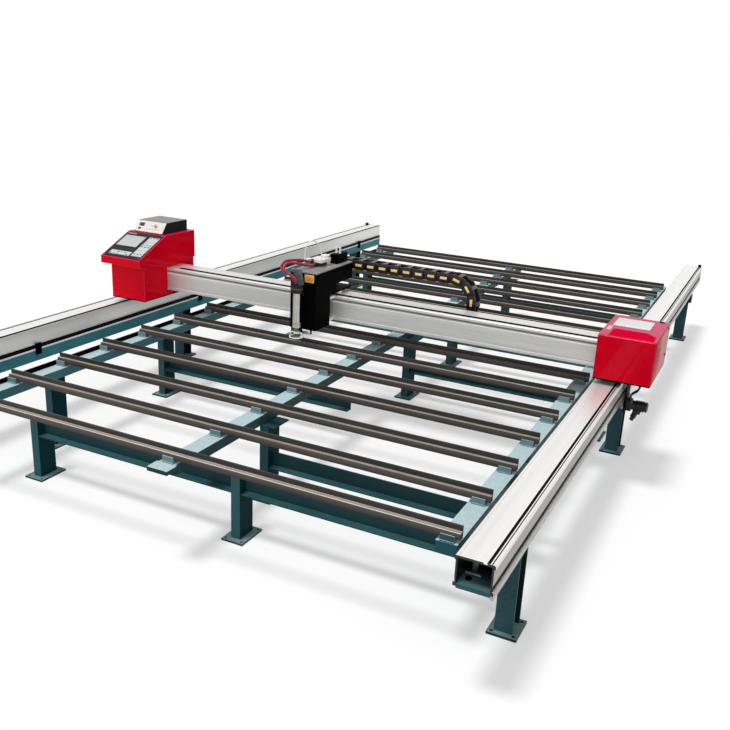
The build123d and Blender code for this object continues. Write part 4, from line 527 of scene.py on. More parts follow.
# Torch head plate: pale edges, a painted highlight.
HEAD = surface("head_plate", ((78, 84, 92), (124, 130, 138)), (0.35, 0.5), 40, metal=0.3,
               worn=((206, 210, 214), 3), shine=0.3)
CHAIN = surface("chain_plastic", ((24, 13, 14), (42, 26, 28)), (0.3, 0.42), 200, shine=0.25,
                coat=0.3, coat_ior=1.3)
BARS = surface("chain_bars", ((68, 52, 58), (100, 82, 90)), (0.3, 0.42), 200, shine=0.3)
TAG = surface("chain_tags", ((220, 196, 112), (246, 228, 160)), (0.4, 0.55), 140)
YELLOW = surface("bare_yellow", ((234, 178, 74), (250, 208, 122)), (0.4, 0.5), 140)
OCHRE = surface("bare_ochre", ((208, 132, 40), (228, 156, 60)), (0.4, 0.5), 140)
PLATE = surface("bare_plate", ((212, 211, 212), (232, 229, 230)), (0.35, 0.5), 120)

NODE_MATERIALS = (
    (RAIL, "left_rail right_rail"),
    (BEAM, "gantry_beam"),
    (TEAL_BASE, "rail_base_plates"),
    (TEAL_LEG, "rail_legs"),
    (TEAL_FOOT, "rail_foot_plates post_feet"),
    (TEAL_DUSTY_LIT, "side_channels"),
    (TEAL_BEAM, "table_beams"),
    (TEAL_POST, "table_posts"),
    (TEAL_TIE, "cross_ties"),
    (TEAL_SADDLE, "slat_saddles"),
    (SLAT, "slats"),
    (STEEL, "rail_rack drive_pinion beam_rack carriage_pinion lift_rods lift_screw"),
    (BLACK, "channel_brackets stop_bar rail_stops left_truck right_truck drive_bracket chain_tray"),
    (BLACK, "carriage_plate torch_housing chain_bracket torch_holder"),
    (BLACK_PALE_TOP, "thc_case"),
    (PLASTIC, "limit_switch torch_collar"),
    (RED_CONSOLE, "control_box"),
    (RED, "drive_box"),
    (BEZEL, "panel_bezel"),
    (SCREEN, "lcd_screen"),
    (KEYS, "panel_keys"),
    (WHITE_PANEL, "thc_panel"),
    (ROCKER, "thc_rocker"),
    (AMBER, "thc_knob"),
    (MOTOR, "drive_motor carriage_motors"),
    (WHITE_PLASTIC, "glide_shoes"),
    (LID, "housing_lid"),
    (MANIFOLD, "hose_manifold"),
    (TORCH, "torch_barrel"),
    (BRASS, "torch_nozzle"),
    (HEAD, "torch_head_plate"),
    (NYLON, "left_front_roller left_rear_roller right_front_roller right_rear_roller"),
)


def dress_nodes():
    for material, names in NODE_MATERIALS:
        for name in names.split():
            mesh = NODES[name].data
            mesh.materials.clear()
            mesh.materials.append(material)


# Mesh building, in the drawing's millimetres; edges sharper than an angle stay crisp

SHARP_ANGLE = 40


def merge(bm, part, material=0, turn=None):
    """Adds a small mesh to a larger one."""
    if turn is not None:
        bmesh.ops.transform(part, matrix=turn, verts=part.verts)
    for face in part.faces:
        face.material_index = material
    mesh = bpy.data.meshes.new("part")
    part.to_mesh(mesh)
    part.free()
    bm.from_mesh(mesh)
    bpy.data.meshes.remove(mesh)


def soften(part, edge):
    """Rounds every edge of a small mesh."""
    if edge:
        bmesh.ops.bevel(part, geom=part.edges[:], offset=edge, segments=2, profile=0.5, affect="EDGES")


def add_box(bm, low, high, edge=0, material=0, turn=None):
    """Box between two corners, its edges rounded."""
    part = bmesh.new()
    bmesh.ops.create_cube(part, size=1)
    size = Vector(high) - Vector(low)
    bmesh.ops.scale(part, vec=size, verts=part.verts)
    bmesh.ops.translate(part, vec=(Vector(high) + Vector(low)) / 2, verts=part.verts)
    soften(part, edge)
    merge(bm, part, material, turn)


def add_prism(bm, outline, depth, edge=0, material=0, turn=None):
    """Flat outline in X and Y, raised by depth along Z."""
    part = bmesh.new()
    base = part.faces.new([part.verts.new((x, y, 0)) for x, y in outline])
    raised = bmesh.ops.extrude_face_region(part, geom=[base])["geom"]
    top = [v for v in raised if isinstance(v, bmesh.types.BMVert)]
    bmesh.ops.translate(part, vec=(0, 0, depth), verts=top)
    bmesh.ops.recalc_face_normals(part, faces=part.faces)
    soften(part, edge)
    merge(bm, part, material, turn)


def aimed(base, axis):
    """Places a piece drawn along Z at a base point, along an axis."""
    return Matrix.Translation(base) @ Vector(axis).to_track_quat("Z", "Y").to_matrix().to_4x4()


def skin(part, rings):
    """Faces between rings of points, with both ends closed."""
    sides = len(rings[0])
    for low, high in zip(rings, rings[1:]):
        for n in range(sides):
            after = (n + 1) % sides
            part.faces.new((low[n], low[after], high[after], high[n]))
    part.faces.new(list(reversed(rings[0])))
    part.faces.new(rings[-1])


def add_lathe(bm, base, axis, profile, material=0, sides=24):
    """Turned piece: profile is its (radius, height) pairs along the axis."""
    part = bmesh.new()
    angles = [2 * math.pi * n / sides for n in range(sides)]
    skin(part, [[part.verts.new((r * math.cos(a), r * math.sin(a), h)) for a in angles] for r, h in profile])
    bmesh.ops.recalc_face_normals(part, faces=part.faces)
    merge(bm, part, material, aimed(base, axis))


def add_bolt(bm, base, axis, size, material=0):
    """Hexagon bolt head on a washer; size is the bolt's diameter."""
    add_lathe(bm, base, axis, [(size * 1.05, 0), (size * 1.05, size * 0.16), (size, size * 0.2)], material)
    head = [(size * 0.92, size * 0.18), (size * 0.92, size * 0.7), (size * 0.78, size * 0.82)]
    add_lathe(bm, base, axis, head, material, 6)


def add_screw(bm, base, axis, radius, material=0):
    """Domed screw head with a socket."""
    height = radius * 0.6
    profile = [(radius, 0), (radius, height * 0.5), (radius * 0.75, height), (radius * 0.42, height),
               (radius * 0.4, height * 0.35), (radius * 0.05, height * 0.3)]
    add_lathe(bm, base, axis, profile, material, 16)


def add_tube(bm, points, radius, material=0, sides=14):
    """Round tube along points, its ring turned from each point to the next."""
    part = bmesh.new()
    spans = [(b - a).normalized() for a, b in zip(points, points[1:])]
    ways = [spans[0]] + [(a + b).normalized() for a, b in zip(spans, spans[1:])] + [spans[-1]]
    side = ways[0].orthogonal().normalized()
    angles = [2 * math.pi * n / sides for n in range(sides)]
    rings = []
    for point, way in zip(points, ways):
        side = (side - way * side.dot(way)).normalized()
        other = way.cross(side)
        spokes = [(side * math.cos(a) + other * math.sin(a)) * radius for a in angles]
        rings.append([part.verts.new(point + spoke) for spoke in spokes])
    skin(part, rings)
    merge(bm, part, material)


def piece(name, bm, materials, body=None):
    """A finished mesh in the frame, riding on a body."""
    bmesh.ops.translate(bm, vec=(FOOTPRINT_SHIFT, 0, 0), verts=bm.verts)
    bmesh.ops.scale(bm, vec=(MM, MM, MM), verts=bm.verts)
    mesh = bpy.data.meshes.new(name)
    bm.to_mesh(mesh)
    bm.free()
    for material in materials:
        mesh.materials.append(material)
    mesh.shade_smooth()
    mesh.set_sharp_from_angle(angle=math.radians(SHARP_ANGLE))
    obj = show(bpy.data.objects.new(name, mesh))
    if body:
        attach(obj, body)
    return obj


# Cords

def route_curve(name, route):
    """Smooth curve with the route's points as its control points."""
    curve = bpy.data.curves.new(name, "CURVE")
    curve.dimensions = "3D"
    curve.resolution_u = 12
    spline = curve.splines.new("NURBS")
    spline.points.add(len(route) - 1)
    for point, place in zip(spline.points, route):
        point.co = (*at(*place), 1)
    spline.order_u = 3
    spline.use_endpoint_u = True
    return show(bpy.data.objects.new(name, curve))


def curve_points(route):
    """Points along the route's smooth curve, in metres."""
    line = route_curve("route_line", route)
    mesh = bpy.data.meshes.new_from_object(line)
    points = [v.co.copy() for v in mesh.vertices]
    bpy.data.meshes.remove(mesh)
    bpy.data.objects.remove(line)
    return points


def line_length(points):
    return sum((b - a).length for a, b in zip(points, points[1:]))


def make_hoses():
    """Two red hoses from the torch's collar to the manifold."""
    for route, name in zip(HOSE_ROUTES, ("torch_hose_upper", "torch_hose_lower")):
        points = curve_points(route)
        bm = bmesh.new()
        drawn = [p / MM - Vector((FOOTPRINT_SHIFT, 0, 0)) for p in points]
        add_tube(bm, drawn, HOSE_RADIUS)
        hose = piece(name, bm, [HOSE])
        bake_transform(hose)
        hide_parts("torch_hoses")


def make_round_cord(name, route, radius, material, body, node):
    """Cord of one smooth curve that rides on one body."""
    cord = route_curve(name, route)
    cord.data.bevel_depth = radius * MM
    cord.data.bevel_resolution = 4
    cord.data.use_fill_caps = True
    cord.data.materials.append(material)
    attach(cord, body)
    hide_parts(node)
    line_length(curve_points(route))


def make_gas_wire():
    make_round_cord("gas_lead", WIRE_ROUTE, WIRE_RADIUS, WHITE_PLASTIC, "carriage",
                    "gas_wire")


def make_motor_cables():
    """Two leads that loop from the truck down to the drive motor."""
    x, z = MOTOR_CABLE_FOOT
    drop = MOTOR_CABLE_DROP
    for side, name in ((-1, "motor_lead_front"), (1, "motor_lead_back")):
        y = MOTOR_Y + side * MOTOR_CABLE_SPREAD
        route = ((x + 30, y, z + drop), (x + 30, y, z + 0.8 * drop), (x + 46, y + 4 * side, z + 0.6 * drop),
                 (x + 42, y + 8 * side, z + 0.38 * drop), (x + 12, y + 4 * side, z + 0.24 * drop),
                 (x, y, z + 0.14 * drop), (x, y, z))
        make_round_cord(name, route, MOTOR_CABLE_RADIUS, CABLE, "gantry",
                        "motor_cables")


# Drag chain

LINK_WALL = 7
LINK_REACH = 14
LINK_OUTER_END = 18
LINK_INNER_START = 34
LINK_EDGE = 1.2
LINK_BAR = 6
LINK_BAR_WIDTH = 24
TAG_SIZE = (44, 16)
TAG_OFFSET = 10
INNER_CABLES = ((-22, 9, 3), (0, 11, 4), (24, 9, 4))
CHAIN_MATERIALS = [CHAIN, BARS, TAG, HOSE, CABLE]


def plate_outline(start, end, half, rounded):
    """Side plate of a link from start to end along the chain, one end round."""
    steps = 8
    if rounded == "start":
        arc = [(start + half - half * math.sin(math.pi * n / steps), half * math.cos(math.pi * n / steps))
               for n in range(steps + 1)]
        return arc + [(end, -half), (end, half)]
    arc = [(end - half + half * math.sin(math.pi * n / steps), -half * math.cos(math.pi * n / steps))
           for n in range(steps + 1)]
    return [(start, half), (start, -half)] + arc


def add_link(bm, place, length):
    """One link, drawn along X about the chain's axis: lapped side plates, crossbars and a tag."""
    half = CHAIN_HEIGHT / 2 - 1
    reach = length / 2
    outline = plate_outline(-reach - LINK_REACH, reach - LINK_OUTER_END, half, "start")
    lapped = plate_outline(reach - LINK_INNER_START, reach + LINK_REACH, half - 2, "end")
    for side in (-1, 1):
        upright = Matrix.Rotation(math.radians(90), 4, "X")
        face = side * CHAIN_WIDTH / 2
        outer = Matrix.Translation((0, face if side > 0 else face + LINK_WALL, 0)) @ upright
        inset = face - side * (LINK_WALL + 0.5)
        inner = Matrix.Translation((0, inset if side > 0 else inset + LINK_WALL, 0)) @ upright
        add_prism(bm, outline, LINK_WALL, LINK_EDGE, 0, place @ outer)
        add_prism(bm, lapped, LINK_WALL, LINK_EDGE, 0, place @ inner)
    wide = CHAIN_WIDTH / 2 - 2
    bar = LINK_BAR_WIDTH / 2
    for low in (CHAIN_HEIGHT / 2 - LINK_BAR, -CHAIN_HEIGHT / 2):
        add_box(bm, (-bar, -wide, low), (bar, wide, low + LINK_BAR), 1.5, 1, place)
    front = -CHAIN_WIDTH / 2
    tag_x, tag_z = TAG_SIZE[0] / 2, TAG_SIZE[1] / 2
    low, high = (-tag_x - TAG_OFFSET, front - 0.8, -tag_z), (tag_x - TAG_OFFSET, front + 0.4, tag_z)
    add_box(bm, low, high, 0.4, 2, place)


def add_inner_cables(bm, spots):
    """Cables that lie in the chain, side by side along its axis."""
    for offset, radius, material in INNER_CABLES:
        add_tube(bm, [Vector((x, CHAIN_CENTRE_Y + offset, z)) for x, z in spots], radius, material, 10)


def straight_links(start, way, z, links, turn):
    """Links of a straight run from a start, with the cables inside."""
    bm = bmesh.new()
    for n in range(links):
        place = Matrix.Translation((start + way * (n + 0.5) * CHAIN_PITCH, CHAIN_CENTRE_Y, z))
        add_link(bm, place @ turn, CHAIN_PITCH)
    add_inner_cables(bm, [(start + way * n * CHAIN_PITCH, z) for n in range(links + 1)])
    return bm


def bend_place(angle):
    return CHAIN_BEND_X + CHAIN_RADIUS * math.cos(angle), CHAIN_BEND_Z + CHAIN_RADIUS * math.sin(angle)


def bent_links():
    """Links round the bend, with the cables inside."""
    bm = bmesh.new()
    step = math.pi / CHAIN_BEND_LINKS
    for n in range(CHAIN_BEND_LINKS):
        angle = math.pi / 2 - (n + 0.5) * step
        x, z = bend_place(angle)
        place = Matrix.Translation((x, CHAIN_CENTRE_Y, z)) @ Matrix.Rotation(math.pi / 2 - angle, 4, "Y")
        add_link(bm, place, 2 * CHAIN_RADIUS * math.sin(step / 2))
    add_inner_cables(bm, [bend_place(math.pi / 2 - n * step / 4) for n in range(4 * CHAIN_BEND_LINKS + 1)])
    return bm


def make_chain():
    """Upper run, lower run and bend; the bend rides on the chain loop's body."""
    top = CHAIN_AXIS_TOP
    low = CHAIN_AXIS_LOW
    upper = straight_links(CHAIN_START, 1, top, CHAIN_UPPER_LINKS, Matrix.Identity(4))
    upper_run = piece("chain_links_upper", upper, CHAIN_MATERIALS)
    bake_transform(upper_run)
    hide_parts("chain_upper")
    lower = straight_links(CHAIN_BEND_X, -1, low, CHAIN_LOWER_LINKS, Matrix.Rotation(math.pi, 4, "Y"))
    lower_run = piece("chain_links_lower", lower, CHAIN_MATERIALS)
    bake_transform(lower_run)
    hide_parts("chain_lower")
    loop = piece("chain_links_bend", bent_links(), CHAIN_MATERIALS, "chain_loop")
    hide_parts("chain_bend")


# Rails and beam

RAIL_INNER = 1585
RAIL_OUTER = 1735
RAIL_HALF = 3000
RAIL_TOP = 600
DECK_SLOT = (31, 45)
DECK_BAND = (21, 33)
DECK_LINE = (12, 16.5)
EDGE_LINE = (1, 22)
DECK_GROOVE = 15
# Side slots and the band of recessed face above them carry black strips of painted shade; on the left rail's
# inner side they are pale, a painted highlight.
SIDE_SLOT = (494, 506)
SIDE_BAND = (506, 517)
SIDE_RECESS = 5
PROUD = 0.08
SUNK = 0.4
FILLER = (5, 0.1)
SIDE_BED = (8, 5.6)
BEAM_ENDS = (-1560, 1690)
BEAM_FRONT = -840
BEAM_SLOT = (-809, -795)
BEAM_BAND = (-820, -784)
BEAM_BAND_START = -1305
BEAM_TOP = 828
# Under the beam's front lip: a line of painted shade and a line of painted highlight.
BEAM_SHADE_SPAN = (797, 808)
BEAM_HIGHLIGHT_SPAN = (786, 792)


def make_rail_strips():
    """Fillers of the deck slots, black bands and lines beside them, and strips low on the sides: black ones
    of painted shade, and pale ones of painted highlight on the left rail's inner side.
    """
    bm = bmesh.new()
    end = RAIL_HALF - 1
    skim = (RAIL_TOP - SUNK, RAIL_TOP + PROUD)

    def run(first, second, low, high, material, edge=0):
        add_box(bm, (min(first, second), -end, low), (max(first, second), end, high), edge, material)

    for edge in (-RAIL_INNER, RAIL_OUTER):
        run(edge - DECK_SLOT[1], edge - DECK_SLOT[0], RAIL_TOP - FILLER[0], RAIL_TOP - FILLER[1], 1)
    for side in (-1, 1):
        for start, stop in (DECK_BAND, DECK_LINE):
            run(side * (RAIL_OUTER - stop), side * (RAIL_OUTER - start), *skim, 3)
    run(-RAIL_INNER - EDGE_LINE[1], -RAIL_INNER - EDGE_LINE[0], *skim, 3)
    groove = RAIL_INNER + DECK_GROOVE
    run(groove - 1.2, groove + 1.2, *skim, 2)
    for side, face, turn, material in ((-1, RAIL_INNER, 1, 1), (-1, RAIL_OUTER, -1, 0), (1, RAIL_INNER, 1, 0),
                                       (1, RAIL_OUTER, -1, 0)):
        deep, shallow = (side * (face + turn * bed) for bed in SIDE_BED)
        run(deep, shallow, *SIDE_SLOT, material, 0.4)
        run(shallow, side * (face + turn * (SIDE_RECESS - PROUD)), *SIDE_BAND, material)
    piece("rail_strips", bm, [SHADE_STRIP, SLOT_FILL, GROOVE, BAND_BLACK], "frame")


def make_beam_strips():
    """Black band in the beam's deck with a filler before it, and under the front lip a line of painted shade
    and a line of painted highlight.
    """
    bm = bmesh.new()
    left, right = BEAM_ENDS[0] + 1, BEAM_ENDS[1] - 1
    band = BEAM_BAND_START
    add_box(bm, (band, BEAM_BAND[0], BEAM_TOP - SUNK), (right, BEAM_BAND[1], BEAM_TOP + PROUD), 0, 0)
    low, high = BEAM_TOP - FILLER[0], BEAM_TOP - FILLER[1]
    add_box(bm, (left, BEAM_SLOT[0], low), (band, BEAM_SLOT[1], high), 0, 3)
    face = BEAM_FRONT + SIDE_RECESS
    for n, (low, high) in enumerate((BEAM_SHADE_SPAN, BEAM_HIGHLIGHT_SPAN)):
        add_box(bm, (left, face - PROUD, low), (right, face + SUNK, high), 0, n + 1)
    piece("beam_strips", bm, [BAND_BLACK, BEAM_SHADE_LINE, BEAM_HIGHLIGHT_LINE, BEAM], "gantry")


# Operator panel and height control

PANEL_MIDDLE = (-1534.5, -997.5, 985.5)
PANEL_SLOPE = (285, 129)
PANEL_FACE = 5
PANEL_SCREWS = (144, 138)
LABEL_PLATE = ((-138, 117), (-66, 132))
KEYPAD_SHEET = ((64, -118), (149, 106))
KEY_ROW_SHEET = ((-118, -124), (50, -80))
SCREEN_CORNERS = ((-130.5, -24.6), (37.5, 97.4))
KEY_FACE = 7.5
KEYPAD_FIRST = (79.5, 95.4)
KEY_ROW_FIRST = (-107.5, -116.4)
KEY_STEP = (27, 21)
MARK_SIZES = ((8, 5.5), (4, 1.5), (6.5, 2.5), (3, 3), (7.5, 4))
THC_MIDDLE = (-1535.5, -816, 1086.5)
THC_SLOPE = (56, 73)
THC_FACE = 3
THC_ROCKER = ((-97, 2), (-58.5, 22))
THC_KNOB = (43.74, 6)
THC_LENS = (10, 12)
THC_SOCKET = ((-98, -26), (-76, -14))
THC_DASHES = (-30, -8, 14, 36, 58)


def slanted(middle, run, rise):
    """Frame of a sloping face: across it, up its slope, and out of it."""
    out = Vector((0, -rise, run)).normalized()
    right = Vector((1, 0, 0))
    return Matrix.Translation(middle) @ Matrix((right, out.cross(right), out)).transposed().to_4x4()


def add_sheet(bm, corners, base, thick, material, turn):
    """Thin plate between two corners of a face."""
    (left, bottom), (right, top) = corners
    add_box(bm, (left, bottom, base), (right, top, base + thick), thick * 0.3, material, turn)


def add_rim(bm, corners, width, base, thick, material, turn):
    """Frame round a rectangle of a face."""
    (left, bottom), (right, top) = corners
    bars = (((left - width, bottom - width), (right + width, bottom)),
            ((left - width, top), (right + width, top + width)),
            ((left - width, bottom), (left, top)), ((right, bottom), (right + width, top)))
    for bar in bars:
        add_sheet(bm, bar, base, thick, material, turn)


def key_places():
    """Middles of the keys: a pad of three columns and a row of six pairs."""
    middles = []
    for (u, v), columns, rows, way in ((KEYPAD_FIRST, 3, 10, -1), (KEY_ROW_FIRST, 6, 2, 1)):
        for n in range(columns):
            middles += [(u + KEY_STEP[0] * n, v + way * KEY_STEP[1] * m) for m in range(rows)]
    return middles


def make_panel():
    """Sheets under the keys, marks on them, the screen's rim, a bare plate and the bezel's screws."""
    bm = bmesh.new()
    turn = slanted(PANEL_MIDDLE, *PANEL_SLOPE)
    for sheet in (KEYPAD_SHEET, KEY_ROW_SHEET):
        add_sheet(bm, sheet, PANEL_FACE, 0.6, 0, turn)
    for n, (u, v) in enumerate(key_places()):
        wide, high = MARK_SIZES[n % len(MARK_SIZES)]
        add_sheet(bm, ((u - wide, v - high), (u + wide, v + high)), KEY_FACE, 0.2, 1, turn)
    add_rim(bm, SCREEN_CORNERS, 6, PANEL_FACE, 1.6, 2, turn)
    add_sheet(bm, LABEL_PLATE, PANEL_FACE, 0.5, 3, turn)
    for u in (-PANEL_SCREWS[0], PANEL_SCREWS[0]):
        for v in (-PANEL_SCREWS[1], PANEL_SCREWS[1]):
            add_screw(bm, turn @ Vector((u, v, PANEL_FACE)), turn.to_3x3() @ Vector((0, 0, 1)), 3.4, 4)
    piece("panel_fittings", bm, [SHEETS, MARKS, RIM, GREY_PLATE, STEEL], "gantry")


def make_height_control():
    """Rocker's rim, lamp, socket, dashes and the ticks round the knob."""
    bm = bmesh.new()
    turn = slanted(THC_MIDDLE, *THC_SLOPE)
    out = turn.to_3x3() @ Vector((0, 0, 1))
    add_rim(bm, THC_ROCKER, 2.5, THC_FACE, 1.6, 0, turn)
    add_sheet(bm, THC_SOCKET, THC_FACE, 1.2, 0, turn)
    lens = [(8, 0), (8, 1.2), (6.6, 1.4), (6.2, 2.8), (4.4, 3.8), (0.4, 4.2)]
    add_lathe(bm, turn @ Vector((*THC_LENS, THC_FACE)), out, lens, 1)
    for u in THC_DASHES:
        add_sheet(bm, ((u, -20), (u + 15, -17)), THC_FACE, 0.3, 3, turn)
    hub = turn @ Matrix.Translation((*THC_KNOB, THC_FACE))
    for n in range(11):
        swing = hub @ Matrix.Rotation(math.radians(28 * n - 140), 4, "Z")
        add_box(bm, (-0.7, 11, 0), (0.7, 15, 0.3), 0, 2, swing)
    piece("height_control_fittings", bm, [BLACK, LENS, MARKS, GREY_PLATE], "gantry")


# Drive box and motor

DRIVE_CORNER = (1586, -912, 882)
DRIVE_PLATE = ((30, 240), (232, 426))
DRIVE_PATCH = ((14, 130), (38, 219))
DRIVE_NOTCH = ((252, 445), (280, 476))
DRIVE_FILM = ((50, 14), (290, 16), (288, 110), (236, 168), (50, 168))
SIDE_PLATE_X = 1892
SIDE_PLATE_THICK = 2.4
SIDE_OUTLINE = ((-907, 638), (-437, 638), (-427, 698), (-427, 867), (-437, 877), (-897, 877), (-907, 867))
SIDE_SCREWS = ((-730, 801, 11), (-827, 712, 8), (-448, 852, 8), (-455, 700, 8))
MOTOR_FLANGE = 1782
MOTOR_END = 1860


def make_drive_top():
    """Bare plates on top of the drive box."""
    bm = bmesh.new()
    top = Matrix.Translation(DRIVE_CORNER)
    add_prism(bm, DRIVE_FILM, 0.4, 0, 0, top)
    add_sheet(bm, DRIVE_PLATE, 0, 0.8, 1, top)
    add_sheet(bm, DRIVE_PATCH, 0, 0.5, 2, top)
    add_sheet(bm, DRIVE_NOTCH, 0, 0.5, 3, top)
    piece("drive_box_plates", bm, [FILM, PLATE, PINK, BLACK], "gantry")


def make_side_plate():
    """Outer plate of the drive box with its flat screw heads."""
    bm = bmesh.new()
    upright = Matrix(((0, 0, 1), (1, 0, 0), (0, 1, 0))).to_4x4()
    add_prism(bm, SIDE_OUTLINE, SIDE_PLATE_THICK, 0.8, 0, Matrix.Translation((SIDE_PLATE_X, 0, 0)) @ upright)
    for y, z, radius in SIDE_SCREWS:
        head = [(radius, 0), (radius, 0.35), (radius - 0.6, 0.55), (radius * 0.4, 0.55), (radius * 0.35, 0.1)]
        add_lathe(bm, (SIDE_PLATE_X + SIDE_PLATE_THICK, y, z), (1, 0, 0), head, 1)
    plate = piece("drive_cover", bm, [RED_SIDE, BLACK], "gantry")
    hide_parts("drive_side_plate")


def make_motor():
    """Fins, end rim, terminal box, flange screws, plugs and cable glands of the drive motor."""
    bm = bmesh.new()
    fin = [(29, 0), (33, 1), (33, 5), (29, 6)]
    for n in range(6):
        add_lathe(bm, (MOTOR_FLANGE + 18 + 9 * n, MOTOR_Y, MOTOR_Z), (1, 0, 0), fin)
    rim = [(26, -2), (30, 0), (30, 6), (25, 9)]
    add_lathe(bm, (MOTOR_END, MOTOR_Y, MOTOR_Z), (1, 0, 0), rim)
    add_box(bm, (MOTOR_FLANGE + 10, MOTOR_Y - 24, MOTOR_Z - 44),
            (MOTOR_FLANGE + 52, MOTOR_Y + 24, MOTOR_Z - 24), 3)
    for dy in (-22, 22):
        for dz in (-22, 22):
            add_screw(bm, (MOTOR_FLANGE, MOTOR_Y + dy, MOTOR_Z + dz), (1, 0, 0), 4.2, 1)
    plug = [(13, 0), (13, 8), (16, 9), (16, 26), (12, 28), (12, 44), (9, 46)]
    for y in (MOTOR_Y - 14, MOTOR_Y + 14):
        add_lathe(bm, (MOTOR_FLANGE + 24, y, MOTOR_Z - 43), (-0.35, 0, -1), plug)
    x, z = MOTOR_CABLE_FOOT
    gland = [(9, 0), (9, 5), (7.5, 6), (7.5, 13), (5.4, 15)]
    for side in (-1, 1):
        add_lathe(bm, (x, MOTOR_Y + side * MOTOR_CABLE_SPREAD, z), (0, 0, 1), gland)
    piece("motor_fittings", bm, [MOTOR, STEEL], "gantry")


# Carriage and torch

TORCH_AXIS = (-175, -1122)
SENSOR_RING = (42, 4, 612)
SENSOR_CLAMP = (632, 646)
FERRULE = ((12, 0), (12, 5), (10, 6), (10, 13), (8.4, 15))
STUD_PLACE = (-115, -1050, 648)
LID_FACE = 1006
LID_SCREWS = ((-245, -1058), (-85, -1058), (-245, -612), (-85, -780))
CLAMP_FACE = 1066
MANIFOLD_FACE = 1050
FRONT_PLATE = ((-156, -1069, 946), (-92, -1067.8, 993))
FRONT_PATCH = ((-149, -1069.4, 953), (-99, -1068.8, 986))
STUD_TAB = ((-158, -1075, 618), (-108, -1045, 622))
VALVE_PLACE = (-172, -806)
CLAMP_STUBS = ((-148, -690), (-122, -690))
MANIFOLD_SCREWS = ((-222, -782), (-150, -880), (-150, -782))
COLLAR_BAND = 908
BARREL_LINES = (690, 701)


def make_carriage_fittings():
    """Bare plate on the housing's front, lid screws, lower stud, and fittings of the manifold and clamp."""
    bm = bmesh.new()
    add_box(bm, *FRONT_PLATE, 0.3, 0)
    add_box(bm, *FRONT_PATCH, 0.2, 1)
    for x, y in LID_SCREWS:
        add_screw(bm, (x, y, LID_FACE), (0, 0, 1), 4, 2)
    add_lathe(bm, STUD_PLACE, (0, 0, -1), [(9, 0), (9, 5), (6, 6), (6, 30), (4.5, 32)], 3)
    add_box(bm, *STUD_TAB, 1, 4)
    for route in HOSE_ROUTES:
        add_lathe(bm, route[-1], (0, -1, 0), FERRULE, 3)
    x, y = VALVE_PLACE
    nipple = [(9, 0), (9, 8), (7, 9), (7, 16)]
    add_lathe(bm, (x, y, MANIFOLD_FACE), (0, 0, 1), nipple, 4)
    valve = [(6, -14), (8.5, -12), (8.5, 4), (10.5, 5), (10.5, 16), (7, 18), (7, 32), (5, 34)]
    add_lathe(bm, (x, y, MANIFOLD_FACE + 14), (1, 0.4, 0.1), valve, 4)
    stub = [(8, 0), (8, 6), (5.5, 7), (5.5, 30), (7.5, 31), (7.5, 38), (4, 40)]
    for x, y in CLAMP_STUBS:
        add_lathe(bm, (x, y, CLAMP_FACE), (0, 0, 1), stub, 4)
    for x, y in MANIFOLD_SCREWS:
        add_screw(bm, (x, y, MANIFOLD_FACE), (0, 0, 1), 3.6, 2)
    foot = [(6.5, 0), (6.5, 6), (4.4, 8), (4.4, 14)]
    for end in (WIRE_ROUTE[0], WIRE_ROUTE[-1]):
        add_lathe(bm, end, (0, 0, 1), foot, 4)
    materials = [YELLOW, OCHRE, STEEL, PLASTIC, WHITE_PLASTIC]
    piece("carriage_fittings", bm, materials, "carriage")


def ring_points(radius, z, steps=32):
    x, y = TORCH_AXIS
    turns = [2 * math.pi * n / steps for n in range(steps + 1)]
    return [Vector((x + radius * math.cos(a), y + radius * math.sin(a), z)) for a in turns]


def make_torch_fittings():
    """Hose ends, bands of the collar and barrel, and the sensing ring round the nozzle."""
    bm = bmesh.new()
    x, y = TORCH_AXIS
    for route in HOSE_ROUTES:
        add_lathe(bm, route[0], (0, 0, 1), FERRULE, 0)
    band = [(36, 0), (36.8, 1), (36.8, 9), (36, 10)]
    add_lathe(bm, (x, y, COLLAR_BAND), (0, 0, 1), band, 1, 48)
    for z in BARREL_LINES:
        add_lathe(bm, (x, y, z), (0, 0, 1), [(25, 0), (25.5, 0.5), (25.5, 2.1), (25, 2.6)], 2, 48)
    low, high = SENSOR_CLAMP
    tall = high - low
    add_lathe(bm, (x, y, low), (0, 0, 1), [(14, 0), (19, 1), (19, tall - 1), (14, tall)], 3, 32)
    radius, wire, z = SENSOR_RING
    add_tube(bm, ring_points(radius, z), wire, 3, 10)
    middle = (low + high) / 2
    arm = ((16, middle), (32, middle), (40, middle - 6), (radius, z))
    for side in (-1, 1):
        add_tube(bm, [Vector((x + side * r, y, h)) for r, h in arm], wire, 3, 10)
    piece("torch_fittings", bm, [PLASTIC, BAND, MARKS, WHITE_PLASTIC], "torch")


# Frame and table fittings

BASE_FACE = 489
BASE_BOLT = (-33, 2951)
BASE_STRIP = ((-58, 2), (2912, 2920), 6)
BASE_TAB = ((-42, -22), (2884, 2890), 52)
BRACKET_FACE = -1575
BRACKET_PLACES = (-1842, -216, 2496)
BRACKET_BOLTS = (450, 488)
# A black strip of painted shadow over the left channel, and a pale strip of painted highlight on the
# channel's top edge.
LEFT_SHADOW_STRIP = ((-1586, 471), (-1583.6, 496))
CHANNEL_HIGHLIGHT_SPAN = ((-1583.4, 460), (-1581.8, 471.5))


